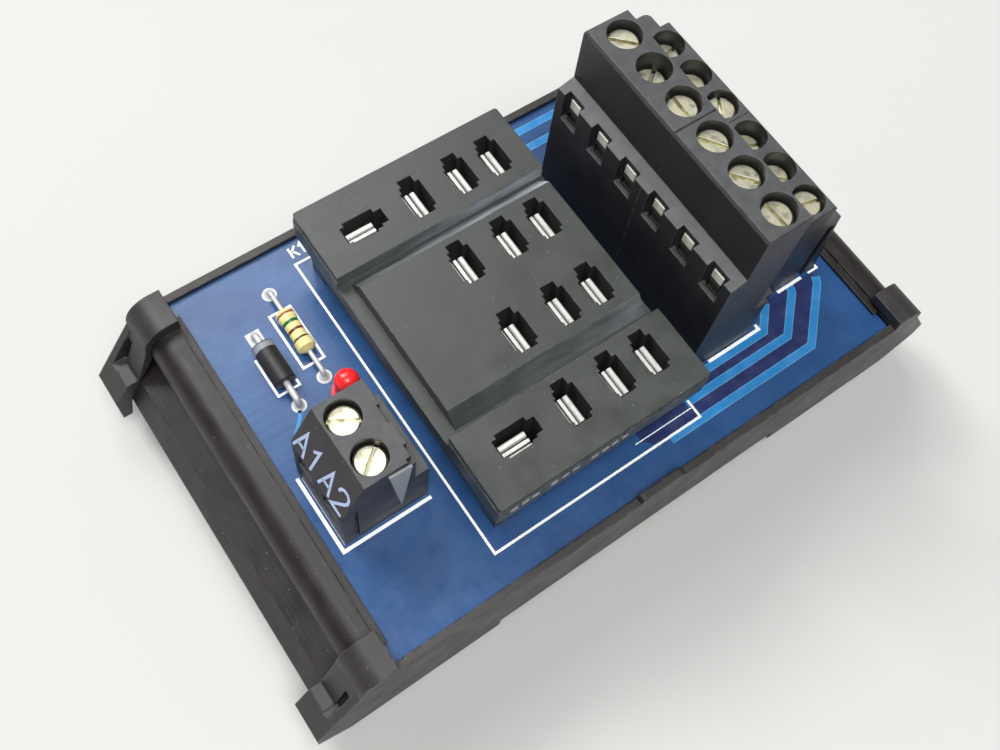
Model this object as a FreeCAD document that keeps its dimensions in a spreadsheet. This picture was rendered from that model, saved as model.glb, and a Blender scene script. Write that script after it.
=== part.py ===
import FreeCAD, Part

import math
import os

import Sketcher
from FreeCAD import Placement, Rotation, Vector

# Interface board for a plug-in control relay, on a clip for a 35 mm mounting rail.
#
# Frame: +Z is up. The board lies level with its long side along X. The rail and the
# extruded carrier run along Y. The origin is the middle of the lowest face.
# Lengths are millimetres.

SIZES = {
    # Circuit board
    "board_long": 73.0,
    "board_end_gap": 0.05,
    "board_thick": 1.6,

    # Carrier: an extruded channel whose grooves hold the board's two short ends
    "carrier_long": 50.0,
    "rail_seat": 3.8,
    "foot_plate_thick": 1.7,
    "floor_thick": 2.0,
    "channel_deep": 8.8,
    "ledge_reach": 1.9,
    "groove_slack": 0.1,
    "lip_reach": 0.6,
    "lip_thick": 0.5,
    "bead_start": 0.3,
    "bead_high": 0.4,
    "shoulder_out": 4.3,
    "shoulder_round": 2.85,
    "shoulder_drop": 3.75,
    "neck_in": 0.7,
    "neck_slope": 0.5,
    "neck_tall": 2.6,
    "band_out": 6.8,
    "band_drop": 1.1,
    "flange_out": 8.6,
    "flange_slope": 3.2,
    "flange_thick": 1.6,
    "flange_low": 3.3,
    "flange_root_drop": 0.4,
    "band_root_in": 0.8,
    "band_root_drop": 0.5,
    "wall_thick": 2.4,
    "inner_round": 1.0,
    "chamber_wall": 1.4,
    "chamber_high": 2.4,
    "rib_gap": 0.2,
    "rib_web": 1.4,
    "rib_lip": 1.4,
    "rib_lip_thick": 0.75,
    "rib_play": 0.05,
    "lip_relief": 2.25,

    # End plates
    "end_plate_thick": 1.0,
    "wrap_long": 4.8,
    "wrap_clear": 0.1,
    "plate_over_board": 0.6,
    "cap_over_bead": 1.65,
    "cap_shoulder": 0.6,
    "cap_round": 3.4,
    "cap_round_start": 0.1,
    "cap_low": 1.4,
    "cap_out": 2.05,
    "cap_corner_in": 4.3,
    "cap_corner_up": 4.0,
    "cap_skin": 0.7,
    "cap_ledge_in": 0.3,
    "skirt_low": 4.2,
    "skirt_thick": 1.2,
    "lug_wide": 6.5,
    "lug_high": 0.8,
    "lug_shift": 0.65,
    "lug_round": 0.6,
    "rail_pass": 4.5,
    "rail_pass_clear": 0.2,
    "grip_wide": 0.9,
    "grip_tall": 4.1,
    "grip_sink": 0.2,

    # Rail foot and its latch, for a rail 35 mm wide with flanges 1 mm thick
    "rail_wide": 35.0,
    "rail_play": 0.3,
    "foot_inset": 2.7,
    "foot_wide": 22.0,
    "hook_wide": 18.0,
    "hook_web": 2.1,
    "hook_reach": 1.5,
    "hook_base": 0.6,
    "hook_thick": 1.7,
    "guide_in": 0.7,
    "guide_end_in": 1.5,
    "guide_wall": 2.95,
    "latch_wide": 11.8,
    "latch_low": 0.4,
    "latch_thick": 2.0,
    "latch_reach": 1.3,
    "latch_out": 1.4,
    "latch_clear": 0.15,
    "latch_bevel": 1.2,
    "tongue_wide": 1.3,
    "tongue_thick": 1.0,
    "tongue_in": 3.5,
    "tongue_end_in": 2.3,
    "window_in": 4.5,
    "window_half": 2.7,
    "post_in": 3.0,
    "post_thick": 1.4,
    "post_half": 2.4,
    "post_below_spring": 0.3,
    "spring_gap": 0.05,
    "spring_strip": 1.2,
    "spring_half": 2.0,
    "spring_low": 0.9,
    "spring_high": 1.0,
    "pull_slot_wide": 5.0,
    "pull_slot_long": 1.6,
    "pull_slot_edge": 1.4,

    # Relay socket
    "socket_long": 28.35,
    "socket_wide": 41.65,
    "socket_at_x": -6.42,
    "socket_at_y": 0.7,
    "socket_high": 12.03,
    "socket_stand": 1.0,
    "socket_flange": 4.1,
    "socket_inset": 1.3,
    "socket_band": 1.1,
    "socket_band_in": 0.12,
    "socket_corner": 0.5,
    "socket_foot": 2.6,
    "strip_wide": 9.85,
    "strip_wide_front": 9.6,
    "middle_rear": 9.5,
    "middle_front": 7.9,
    "middle_bevel": 1.7,
    "groove_deep": 2.2,
    "middle_end_left": 1.65,
    "middle_end_right": 0.75,
    "row_apart": 10.05,
    "row_middle": 0.76,
    "near_column": 3.38,
    "middle_column": -1.32,
    "far_column": -7.31,
    "coil_column": -14.51,

    # Each contact slot, from its middle: the metal lies toward its back
    "slot_half": 1.5,
    "slot_back_end": 1.26,
    "slot_neck_back": 1.2,
    "slot_neck_end": 2.0,
    "slot_ear_back": 0.87,
    "slot_ear_face": 0.96,
    "slot_ear_end": 2.9,
    "slot_face_end": 1.93,
    "slot_tail_start": 1.9,
    "slot_tail_end": 2.5,
    "slot_tail_back": 1.1,
    "slot_tail_face": 1.05,

    # Folded spring contacts inside the socket
    "contact_sink": 0.7,
    "contact_tall": 7.0,
    "contact_start": 2.2,
    "contact_end": 1.2,
    "contact_back": 0.95,
    "contact_blade": 0.4,
    "contact_blade_gap": 0.25,
    "contact_fold": 0.7,
    "contact_bevel": 0.15,
    "contact_sheet": 0.25,
    "contact_leaf_gap": 0.25,
    "contact_leaf_start": 1.85,
    "pin_thick": 0.6,
    "pin_wide": 1.0,
    "pin_under_board": 1.8,
    "pin_hole": 1.3,

    # Screw clamps, the same in every terminal block
    "way_wide": 5.08,
    "screw_hole": 4.0,
    "screw_head": 3.7,
    "head_thick": 1.4,
    "head_chamfer": 0.25,
    "screw_sink": 0.6,
    "screw_shank": 2.8,
    "shank_clear": 0.05,
    "screw_reach": 4.5,
    "screw_slot": 0.45,
    "screw_slot_deep": 0.8,
    "clamp_travel": 2.8,
    "clamp_stop": 0.1,
    "clamp_wide": 4.0,
    "clamp_deep": 3.4,
    "clamp_roof": 1.5,
    "clamp_side": 0.5,
    "clamp_base": 0.8,
    "clamp_space": 3.8,
    "clamp_fit": 0.1,
    "plate_gap": 0.05,
    "press_plate": 0.5,
    "press_plate_clear": 0.1,
    "plate_rib": 0.15,
    "plate_rib_gap": 1.1,
    "entry_roof": 0.5,
    "tail_wide": 1.6,
    "tail_thick": 0.8,
    "tail_hole": 1.95,

    # Two-tier terminal block for the relay contacts
    "upper_high": 29.9,
    "upper_back": 12.55,
    "upper_front": 18.6,
    "upper_screw": 16.13,
    "upper_start": -15.94,
    "back_face": 10.5,
    "back_ledge_low": 21.6,
    "back_ledge_high": 22.3,
    "upper_foot_end": 21.9,
    "upper_foot_high": 9.1,
    "lower_high": 18.65,
    "lower_front": 29.56,
    "lower_step": 14.3,
    "lower_nose": 32.1,
    "lower_toe": 34.2,
    "lower_screw": 27.3,
    "tier_shift": 2.54,
    "notch_wide": 2.7,
    "notch_low": 17.5,
    "notch_deep": 0.8,
    "upper_pin": 11.2,
    "upper_pin_top": 21.0,
    "tab_low": 18.85,
    "tab_sink": 0.3,
    "lower_pin": 22.6,
    "end_rib_start": 25.6,
    "end_rib_long": 2.4,
    "end_rib_out": 2.42,
    "end_rib_round": 0.8,
    "flute_wide": 1.3,
    "flute_deep": 0.5,
    "outer_flute": 31.3,
    "outer_flute_high": 12.7,
    "block_edge": 0.3,
    "block_end_edge": 0.12,

    # Two-way terminal block for the coil
    "control_high": 15.35,
    "control_back": -25.1,
    "control_ledge": -23.3,
    "control_ledge_high": 8.9,
    "control_front": -31.2,
    "control_knee": -34.0,
    "control_knee_high": 10.0,
    "control_toe": -34.1,
    "control_end": -11.3,
    "control_screw": -28.95,
    "control_slit_shift": 1.9,
    "control_slit_long": 2.3,
    "control_slit_wide": 0.4,
    "control_slit_deep": 1.5,
    "control_nick_long": 1.0,
    "control_nick_wide": 0.4,
    "control_tab_out": 0.4,
    "control_tab_front": -28.5,
    "control_tab_front_high": 15.0,
    "control_tab_back": -25.75,
    "control_tab_back_high": 14.6,
    "control_tab_foot": -26.95,
    "control_tab_foot_high": 3.0,
    "control_flute_at": -32.75,
    "control_flute_wide": 0.6,
    "control_flute_high": 9.4,
    "control_flute_deep": 0.4,

    # Small parts on the board
    "resistor_at_x": -25.6,
    "resistor_rear": 19.82,
    "resistor_span": 12.7,
    "resistor_body": 6.2,
    "resistor_thick": 2.3,
    "resistor_waist": 2.0,
    "resistor_cap": 1.5,
    "resistor_end": 1.0,
    "resistor_edge": 0.45,
    "resistor_neck": 1.95,
    "resistor_lead": 0.6,
    "resistor_mid": 13.5,
    "diode_at_x": -29.9,
    "diode_rear": 15.72,
    "diode_span": 10.16,
    "diode_body": 5.5,
    "diode_thick": 2.7,
    "diode_lead": 0.8,
    "diode_mid": 11.05,
    "diode_edge": 0.1,
    "part_lift": 0.1,
    "lead_bend": 0.9,
    "lead_hole": 1.1,
    "lamp_at_x": -24.6,
    "lamp_at_y": 3.4,
    "lamp_thick": 3.0,
    "lamp_rim": 3.8,
    "lamp_rim_high": 1.0,
    "lamp_tall": 5.3,
    "lamp_crown": 1.47,
    "lamp_lift": 1.0,
    "lamp_lead": 0.5,
    "lamp_lead_gap": 2.54,
}

# Counts
UPPER_TIER_WAYS = 3
SOCKET_ROWS = 4
SPRING_TURNS = 6

# How far each clamp screw is turned in from its highest place, and the angle of its slot
# in degrees from X, in order from the front of the board to the rear.
UPPER_SCREWS = ((0.6, -88), (0.6, -51), (0.6, -53), (0.6, -90), (1.8, 35), (0.6, -44))
LOWER_SCREWS = ((0.4, -13), (1.6, -45), (1.8, -20), (0.4, 60), (1.7, -60), (1.6, 10))
CONTROL_SCREWS = ((0.7, 39), (0.6, -29))


doc = FreeCAD.newDocument("RelayInterface")
sheet = doc.addObject("Spreadsheet::Sheet", "Sizes")


class Size:
    """A number together with the sheet formula that it comes from."""

    def __init__(self, number, formula):
        self.number = float(number)
        self.formula = formula

    def __add__(self, other):
        other = as_size(other)
        return Size(self.number + other.number, f"({self.formula} + {other.formula})")

    def __sub__(self, other):
        other = as_size(other)
        return Size(self.number - other.number, f"({self.formula} - {other.formula})")

    def __mul__(self, other):
        other = as_size(other)
        return Size(self.number * other.number, f"({self.formula} * {other.formula})")

    def __truediv__(self, other):
        other = as_size(other)
        return Size(self.number / other.number, f"({self.formula} / {other.formula})")

    def __radd__(self, other):
        return as_size(other) + self

    def __rsub__(self, other):
        return as_size(other) - self

    def __rmul__(self, other):
        return as_size(other) * self

    def __neg__(self):
        return Size(-self.number, f"(-1 * {self.formula})")


def as_size(value):
    return value if isinstance(value, Size) else Size(value, repr(float(value)))


class Named:
    """The driving dimensions, read as attributes."""


s = Named()
for line, (word, value) in enumerate(SIZES.items(), start=1):
    sheet.set(f"A{line}", word)
    sheet.set(f"B{line}", str(value))
    sheet.setAlias(f"B{line}", word)
    setattr(s, word, Size(value, f"Sizes.{word}"))
doc.recompute()

# Levels and places that several pieces share
floor_under = s.rail_seat + s.foot_plate_thick
floor_top = floor_under + s.floor_thick
board_under = floor_top + s.channel_deep
board_top = board_under + s.board_thick
board_end = s.board_long / 2
groove_end = board_end + s.groove_slack
lip_under = board_top + s.groove_slack / 2
lip_top = lip_under + s.lip_thick
bead_top = lip_top + s.bead_high
shoulder = board_end + s.shoulder_out
flange = board_end + s.flange_out
carrier_end = s.carrier_long / 2
rail_edge = s.rail_wide / 2
foot_half = board_end - s.foot_inset
neck_low = bead_top - s.shoulder_drop - s.neck_slope - s.neck_tall
band_low = neck_low - s.band_drop
slope_low = band_low - s.flange_slope
band_end = board_end + s.band_out
pin_low = board_under - s.pin_under_board

# Numbers closer than this are the same place or the same volume
SAME = 1e-6

AXES = {"x": ("YZ_Plane", "X_Axis"), "y": ("XZ_Plane", "Y_Axis"), "z": ("XY_Plane", "Z_Axis")}


# --- helpers -------------------------------------------------------------------------

def bind(thing, prop, value):
    """Tie a property to its formula."""
    thing.setExpression(prop, as_size(value).formula)


def own(body, role):
    """One of the body's own origin planes or axes."""
    for feature in body.Origin.OriginFeatures:
        if feature.Role == role:
            return feature
    raise LookupError(role)


def new_body(name, at=(0, 0, 0), turn=0):
    body = doc.addObject("PartDesign::Body", name)
    body.Label = name
    body.Placement = Placement(Vector(0, 0, 0), Rotation(Vector(0, 0, 1), turn))
    for letter, value in zip("xyz", at):
        bind(body, f".Placement.Base.{letter}", value)
    return body


class Circle:
    def __init__(self, across, up, radius):
        self.centre = (as_size(across), as_size(up))
        self.radius = as_size(radius)


def rectangle(left, right, low, high):
    return [(left, low), (right, low), (right, high), (left, high)]


def draw_loop(sketch, corners):
    """A closed outline of straight lines, each corner tied to its two formulas."""
    first = sketch.GeometryCount
    corners = [(as_size(across), as_size(up)) for across, up in corners]
    spots = [Vector(across.number, up.number, 0) for across, up in corners]
    following = spots[1:] + spots[:1]
    sketch.addGeometry([Part.LineSegment(a, b) for a, b in zip(spots, following)], False)
    count = len(corners)
    joints = [Sketcher.Constraint("Coincident", first + i, 2, first + (i + 1) % count, 1)
              for i in range(count)]
    sketch.addConstraint(joints)
    for i, (across, up) in enumerate(corners):
        tie_point(sketch, first + i, 1, across, up)


def tie_point(sketch, line, end, across, up):
    for kind, value in (("DistanceX", across), ("DistanceY", up)):
        which = sketch.addConstraint(Sketcher.Constraint(kind, -1, 1, line, end, value.number))
        sketch.setExpression(f"Constraints[{which}]", value.formula)


def draw_circle(sketch, circle):
    across, up = circle.centre
    centre = Vector(across.number, up.number, 0)
    line = sketch.addGeometry(Part.Circle(centre, Vector(0, 0, 1), circle.radius.number), False)
    tie_point(sketch, line, 3, across, up)
    which = sketch.addConstraint(Sketcher.Constraint("Radius", line, circle.radius.number))
    sketch.setExpression(f"Constraints[{which}]", circle.radius.formula)


def sketch_across(body, name, axis, level, shapes):
    """A sketch square to an axis, at a level along it.

    The plane square to Y faces -Y, so its offset has the other sign.
    """
    sketch = body.newObject("Sketcher::SketchObject", name)
    sketch.AttachmentSupport = (own(body, AXES[axis][0]), [""])
    sketch.MapMode = "FlatFace"
    bind(sketch, ".AttachmentOffset.Base.z", -as_size(level) if axis == "y" else level)
    for shape in shapes:
        if isinstance(shape, Circle):
            draw_circle(sketch, shape)
        else:
            draw_loop(sketch, shape)
    return sketch


def settle(body, feature, grows):
    """Recompute, and stop if the feature didn't change the solid as it should."""
    before = body.Tip.BaseFeature.Shape.Volume if body.Tip.BaseFeature else 0
    doc.recompute()
    after = feature.Shape.Volume
    if (after > before) != grows or abs(after - before) < SAME:
        raise ValueError(f"{feature.Name} changed nothing or went the wrong way")
    return feature


def add(body, name, axis, low, high, *shapes):
    """Material between two levels along an axis."""
    feature_sketch = sketch_across(body, f"{name}_outline", axis, low, shapes)
    feature = body.newObject("PartDesign::Pad", name)
    feature.Profile = feature_sketch
    feature.Reversed = axis == "y"
    bind(feature, "Length", as_size(high) - low)
    return settle(body, feature, grows=True)


def cut(body, name, axis, low, high, *shapes):
    """A recess between two levels along an axis."""
    start = low if axis == "y" else high
    feature_sketch = sketch_across(body, f"{name}_outline", axis, start, shapes)
    feature = body.newObject("PartDesign::Pocket", name)
    feature.Profile = feature_sketch
    bind(feature, "Length", as_size(high) - low)
    return settle(body, feature, grows=False)


def revolve(body, name, outline, axis="z"):
    """A turned piece: the outline lies in the XZ plane and turns about X or Z."""
    feature_sketch = sketch_across(body, f"{name}_outline", "y", 0, [outline])
    feature = body.newObject("PartDesign::Revolution", name)
    feature.Profile = feature_sketch
    feature.ReferenceAxis = (feature_sketch, ["V_Axis" if axis == "z" else "H_Axis"])
    feature.Angle = 360
    return settle(body, feature, grows=True)


def repeat(body, name, originals, axis, spacing, count):
    """The same features again, evenly spaced along an axis."""
    pattern = body.newObject("PartDesign::LinearPattern", name)
    pattern.Originals = originals
    pattern.Direction = (own(body, AXES[axis][1]), [""])
    bind(pattern, "Length", spacing * (count - 1))
    pattern.Occurrences = count
    body.Tip = pattern
    doc.recompute()
    return pattern


def edges_at(shape, along, **place):
    """Names of the straight edges that run along an axis through a place."""
    picked = []
    for number, edge in enumerate(shape.Edges, start=1):
        ends = [vertex.Point for vertex in edge.Vertexes]
        if len(ends) != 2 or not isinstance(edge.Curve, Part.Line):
            continue
        across = [letter for letter in "xyz" if letter != along]
        if any(abs(getattr(ends[0], a) - getattr(ends[1], a)) > SAME for a in across):
            continue
        if all(abs(getattr(ends[0], a) - as_size(v).number) < SAME for a, v in place.items()):
            picked.append(f"Edge{number}")
    if not picked:
        raise LookupError(f"no edge along {along} at {sorted(place)}")
    return picked


def round_edges(body, name, radius, along, *places):
    """Fillet of straight edges, each picked by its place."""
    base = body.Tip
    names = []
    for place in places:
        names += edges_at(base.Shape, along, **place)
    feature = body.newObject("PartDesign::Fillet", name)
    feature.Base = (base, names)
    bind(feature, "Radius", radius)
    doc.recompute()
    return feature


def bevel_edges(body, name, size, along, *places):
    """Chamfer of straight edges, each picked by its place."""
    base = body.Tip
    names = []
    for place in places:
        names += edges_at(base.Shape, along, **place)
    feature = body.newObject("PartDesign::Chamfer", name)
    feature.Base = (base, names)
    bind(feature, "Size", size)
    doc.recompute()
    return feature


def mirrored(half):
    """A closed outline from its right half, listed from the bottom middle to the top."""
    return half + [(-as_size(across), up) for across, up in reversed(half)]


# --- carrier -------------------------------------------------------------------------

def make_base_profile():
    body = new_body("base_profile")
    rib = foot_half + s.rib_gap
    rib_low = s.rail_seat - s.rib_play - s.rib_lip_thick
    wall_out = board_end - s.ledge_reach + s.wall_thick
    neck = shoulder - s.neck_in
    neck_top = neck_low + s.neck_tall
    inner = flange - s.flange_thick
    half = [
        (rib, floor_under),
        (rib, s.rail_seat - s.rib_play),
        (rib - s.rib_lip, s.rail_seat - s.rib_play),
        (rib - s.rib_lip, rib_low),
        (rib + s.rib_web, rib_low),
        (rib + s.rib_web, floor_under),
        (wall_out, floor_under),
        (wall_out, band_low - s.band_root_drop),
        (band_end - s.band_root_in, band_low - s.flange_thick),
        (inner, slope_low - s.flange_root_drop),
        (inner, s.flange_low),
        (flange, s.flange_low),
        (flange, slope_low),
        (band_end, band_low),
        (neck, neck_low),
        (neck, neck_top),
        (shoulder, neck_top + s.neck_slope),
        (shoulder, bead_top),
        (board_end + s.bead_start, bead_top),
        (board_end + s.bead_start, lip_top),
        (board_end - s.lip_reach, lip_top),
        (board_end - s.lip_reach, lip_under),
        (groove_end, lip_under),
        (groove_end, board_under),
        (board_end - s.ledge_reach, board_under),
        (board_end - s.ledge_reach, floor_top),
    ]
    chamber_left = board_end - s.ledge_reach + s.chamber_wall
    chamber_right = neck - s.chamber_wall
    chamber_top = board_under - s.chamber_wall
    chamber_low = chamber_top - s.chamber_high
    right = rectangle(chamber_left, chamber_right, chamber_low, chamber_top)
    left = rectangle(-chamber_right, -chamber_left, chamber_low, chamber_top)
    add(body, "channel", "y", -carrier_end, carrier_end, mirrored(half), right, left)
    round_edges(body, "shoulders", s.shoulder_round, "y",
                dict(x=shoulder, z=bead_top), dict(x=-shoulder, z=bead_top))
    wall_in = board_end - s.ledge_reach
    round_edges(body, "channel_corners", s.inner_round, "y",
                dict(x=wall_in, z=floor_top), dict(x=-wall_in, z=floor_top))
    # the lip over the board stops short of the carrier's two ends
    lip_end = board_end - s.lip_reach
    relief = carrier_end - s.lip_relief
    cut(body, "lip_ends", "z", lip_under, lip_top,
        rectangle(lip_end, groove_end, relief, carrier_end),
        rectangle(lip_end, groove_end, -carrier_end, -relief),
        rectangle(-groove_end, -lip_end, relief, carrier_end),
        rectangle(-groove_end, -lip_end, -carrier_end, -relief))
    return body


def make_end_plate(name, turn):
    """A moulded cap over one end of the carrier, drawn for the front end."""
    body = new_body(name, turn=turn)
    outer = flange + s.cap_out
    cap_top = bead_top + s.cap_over_bead
    cap_side = shoulder + s.cap_shoulder
    side_low = cap_top - s.cap_round - s.cap_round_start
    knee = slope_low + s.cap_skin
    ledge = band_low + s.cap_skin
    ledge_out = outer - (outer - cap_side) * (ledge - knee) / (side_low - knee)
    plate_top = board_top + s.plate_over_board
    top_corner = [(cap_side, side_low), (cap_side, cap_top), (board_end, cap_top)]
    plate = [
        (rail_edge + s.rail_pass, s.rail_seat + s.rail_pass_clear),
        (rail_edge + s.rail_pass, s.cap_low),
        (outer - s.cap_corner_in, s.cap_low),
        (outer, s.cap_low + s.cap_corner_up),
        (outer, knee),
    ] + top_corner + [(board_end, plate_top)]
    wrap = [
        (outer - s.skirt_thick, s.skirt_low),
        (outer, s.skirt_low),
        (outer, knee),
        (ledge_out, ledge),
        (band_end + s.cap_ledge_in, ledge),
    ] + top_corner + [
        (board_end, bead_top + s.wrap_clear),
        (shoulder + s.wrap_clear, bead_top + s.wrap_clear),
        (shoulder + s.wrap_clear, bead_top - s.shoulder_drop),
        (band_end + s.wrap_clear, band_low + s.wrap_clear),
        (flange + s.wrap_clear, slope_low),
    ]
    add(body, f"{name}_face", "y", -carrier_end - s.end_plate_thick, -carrier_end,
        mirrored(plate))
    wrap_high = s.wrap_long - carrier_end - s.end_plate_thick
    other = [(-across, up) for across, up in reversed(wrap)]
    add(body, f"{name}_wraps", "y", -carrier_end, wrap_high, wrap, other)
    lug_left = -s.lug_shift - s.lug_wide / 2
    lug_right = -s.lug_shift + s.lug_wide / 2
    lug_top = plate_top + s.lug_high
    add(body, f"{name}_lug", "y", -carrier_end - s.end_plate_thick, -carrier_end,
        rectangle(lug_left, lug_right, plate_top, lug_top))
    round_edges(body, f"{name}_lug_corners", s.lug_round, "y",
                dict(x=lug_left, z=lug_top), dict(x=lug_right, z=lug_top))
    inner_x = shoulder + s.wrap_clear
    inner_z = bead_top + s.wrap_clear
    round_edges(body, f"{name}_wrap_corners", s.shoulder_round + s.wrap_clear, "y",
                dict(x=inner_x, z=inner_z), dict(x=-inner_x, z=inner_z))
    round_edges(body, f"{name}_cap_corners", s.cap_round, "y",
                dict(x=cap_side, z=cap_top), dict(x=-cap_side, z=cap_top))
    # a slot through each wrap, in the corner against the plate
    grip_low = ledge - s.grip_sink
    cut(body, f"{name}_grip", "x", -outer, outer,
        rectangle(-carrier_end, s.grip_wide - carrier_end, grip_low, grip_low + s.grip_tall))
    return body


# --- foot ----------------------------------------------------------------------------

guide_half = s.latch_wide / 2 + s.latch_clear
tongue_half = s.latch_wide / 2 + s.tongue_wide
latch_top = s.latch_low + s.latch_thick
latch_end = flange + s.latch_out
window_start = rail_edge + s.window_in
post_start = foot_half - s.post_in


def make_rail_foot():
    body = new_body("rail_foot")
    add(body, "foot_plate", "z", s.rail_seat, floor_under,
        rectangle(-foot_half, foot_half, -s.foot_wide / 2, s.foot_wide / 2))
    hook_in = -rail_edge - s.rail_play
    hook_top = s.hook_base + s.hook_thick
    hook = [
        (hook_in - s.hook_web, s.rail_seat),
        (hook_in - s.hook_web, 0),
        (hook_in, 0),
        (hook_in + s.hook_reach, s.hook_base),
        (hook_in + s.hook_reach, hook_top),
        (hook_in, hook_top),
        (hook_in, s.rail_seat),
    ]
    add(body, "hook", "y", -s.hook_wide / 2, s.hook_wide / 2, hook)
    outer = guide_half + s.guide_wall
    groove = tongue_half + s.latch_clear
    groove_low = latch_top - s.tongue_thick - s.latch_clear
    groove_high = latch_top + s.latch_clear
    wall = [
        (guide_half, s.rail_seat),
        (guide_half, groove_high),
        (groove, groove_high),
        (groove, groove_low),
        (guide_half, groove_low),
        (guide_half, 0),
        (outer, 0),
        (outer, s.rail_seat),
    ]
    other = [(-across, up) for across, up in reversed(wall)]
    add(body, "latch_guides", "x", rail_edge + s.guide_in, foot_half - s.guide_end_in,
        wall, other)
    add(body, "spring_post", "z", s.spring_low - s.post_below_spring, s.rail_seat,
        rectangle(post_start, post_start + s.post_thick, -s.post_half, s.post_half))
    return body


def make_rail_latch():
    body = new_body("rail_latch")
    nose = rail_edge - s.latch_reach
    bar = [
        (nose, latch_top),
        (nose, s.latch_low + s.latch_bevel),
        (nose + s.latch_bevel, s.latch_low),
        (latch_end, s.latch_low),
        (latch_end, latch_top),
    ]
    add(body, "latch_bar", "y", -s.latch_wide / 2, s.latch_wide / 2, bar)
    add(body, "latch_tongues", "z", latch_top - s.tongue_thick, latch_top,
        rectangle(rail_edge + s.tongue_in, foot_half - s.tongue_end_in,
                  -tongue_half, tongue_half))
    window_end = post_start + s.post_thick + s.latch_clear
    cut(body, "latch_window", "z", s.latch_low, latch_top,
        rectangle(window_start, window_end, -s.window_half, s.window_half))
    slot_end = latch_end - s.pull_slot_edge
    cut(body, "pull_slot", "z", s.latch_low, latch_top,
        rectangle(slot_end - s.pull_slot_long, slot_end,
                  -s.pull_slot_wide / 2, s.pull_slot_wide / 2))
    round_edges(body, "latch_corners", s.latch_bevel, "z",
                dict(x=latch_end, y=-s.latch_wide / 2),
                dict(x=latch_end, y=s.latch_wide / 2))
    return body


def make_latch_spring():
    """A flat zigzag strip between the latch's window and the foot's post."""
    body = new_body("latch_spring")
    start = window_start + s.spring_gap
    end = post_start - s.spring_gap
    step = (end - start) / SPRING_TURNS
    front = []
    rear = []
    for turn in range(SPRING_TURNS + 1):
        place = start + step * turn
        if turn % 2:
            front.append((place, s.spring_half - s.spring_strip))
            rear.append((place, s.spring_half))
        else:
            front.append((place, -s.spring_half))
            rear.append((place, s.spring_strip - s.spring_half))
    add(body, "zigzag", "z", s.spring_low, s.spring_low + s.spring_high,
        front + list(reversed(rear)))
    return body


# --- circuit board -------------------------------------------------------------------

row_places = [s.row_middle + s.row_apart * (row - (SOCKET_ROWS - 1) / 2)
              for row in range(SOCKET_ROWS)]
contact_columns = (s.near_column, s.middle_column, s.far_column)
coil_rows = (row_places[0], row_places[-1])
contact_pin_shift = s.contact_blade / 2 - s.contact_back


def tier_places(start):
    """Middle of each way of a tier that starts at a place along Y."""
    return [start + s.way_wide * (way + 0.5) for way in range(2 * UPPER_TIER_WAYS)]


upper_ways = tier_places(s.upper_start)
lower_ways = tier_places(s.upper_start + s.tier_shift)
control_ways = [s.control_end + s.way_wide * 0.5, s.control_end + s.way_wide * 1.5]
control_tail_end = s.control_back - s.tail_thick


def make_circuit_board():
    body = new_body("circuit_board")
    half = carrier_end - s.board_end_gap
    add(body, "board", "z", board_under, board_top,
        rectangle(-board_end, board_end, -half, half))
    pin_hole = s.pin_hole / 2
    lead_hole = s.lead_hole / 2
    tail_hole = s.tail_hole / 2
    tail_middle = s.tail_thick / 2
    contacts = [Circle(column + contact_pin_shift, row_places[0], pin_hole)
                for column in contact_columns]
    contact_row = cut(body, "contact_holes", "z", board_under, board_top, *contacts)
    repeat(body, "contact_hole_rows", [contact_row], "y", s.row_apart, SOCKET_ROWS)
    tails = [Circle(s.upper_pin + tail_middle, upper_ways[0], tail_hole),
             Circle(s.lower_pin + tail_middle, lower_ways[0], tail_hole)]
    tail_row = cut(body, "tail_holes", "z", board_under, board_top, *tails)
    repeat(body, "tail_hole_rows", [tail_row], "y", s.way_wide, len(upper_ways))
    others = [Circle(s.coil_column, row + contact_pin_shift, pin_hole) for row in coil_rows]
    others += [Circle(control_tail_end + tail_middle, way, tail_hole)
               for way in control_ways]
    for place_x, rear, span in ((s.resistor_at_x, s.resistor_rear, s.resistor_span),
                                (s.diode_at_x, s.diode_rear, s.diode_span)):
        others.append(Circle(place_x, rear, lead_hole))
        others.append(Circle(place_x, rear - span, lead_hole))
    for side in (-0.5, 0.5):
        others.append(Circle(s.lamp_at_x, s.lamp_at_y + s.lamp_lead_gap * side, lead_hole))
    cut(body, "lead_holes", "z", board_under, board_top, *others)
    return body


# --- relay socket --------------------------------------------------------------------

socket_left = s.socket_at_x - s.socket_long / 2
socket_right = s.socket_at_x + s.socket_long / 2
socket_front = s.socket_at_y - s.socket_wide / 2
socket_rear = s.socket_at_y + s.socket_wide / 2
socket_top = board_top + s.socket_high


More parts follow.
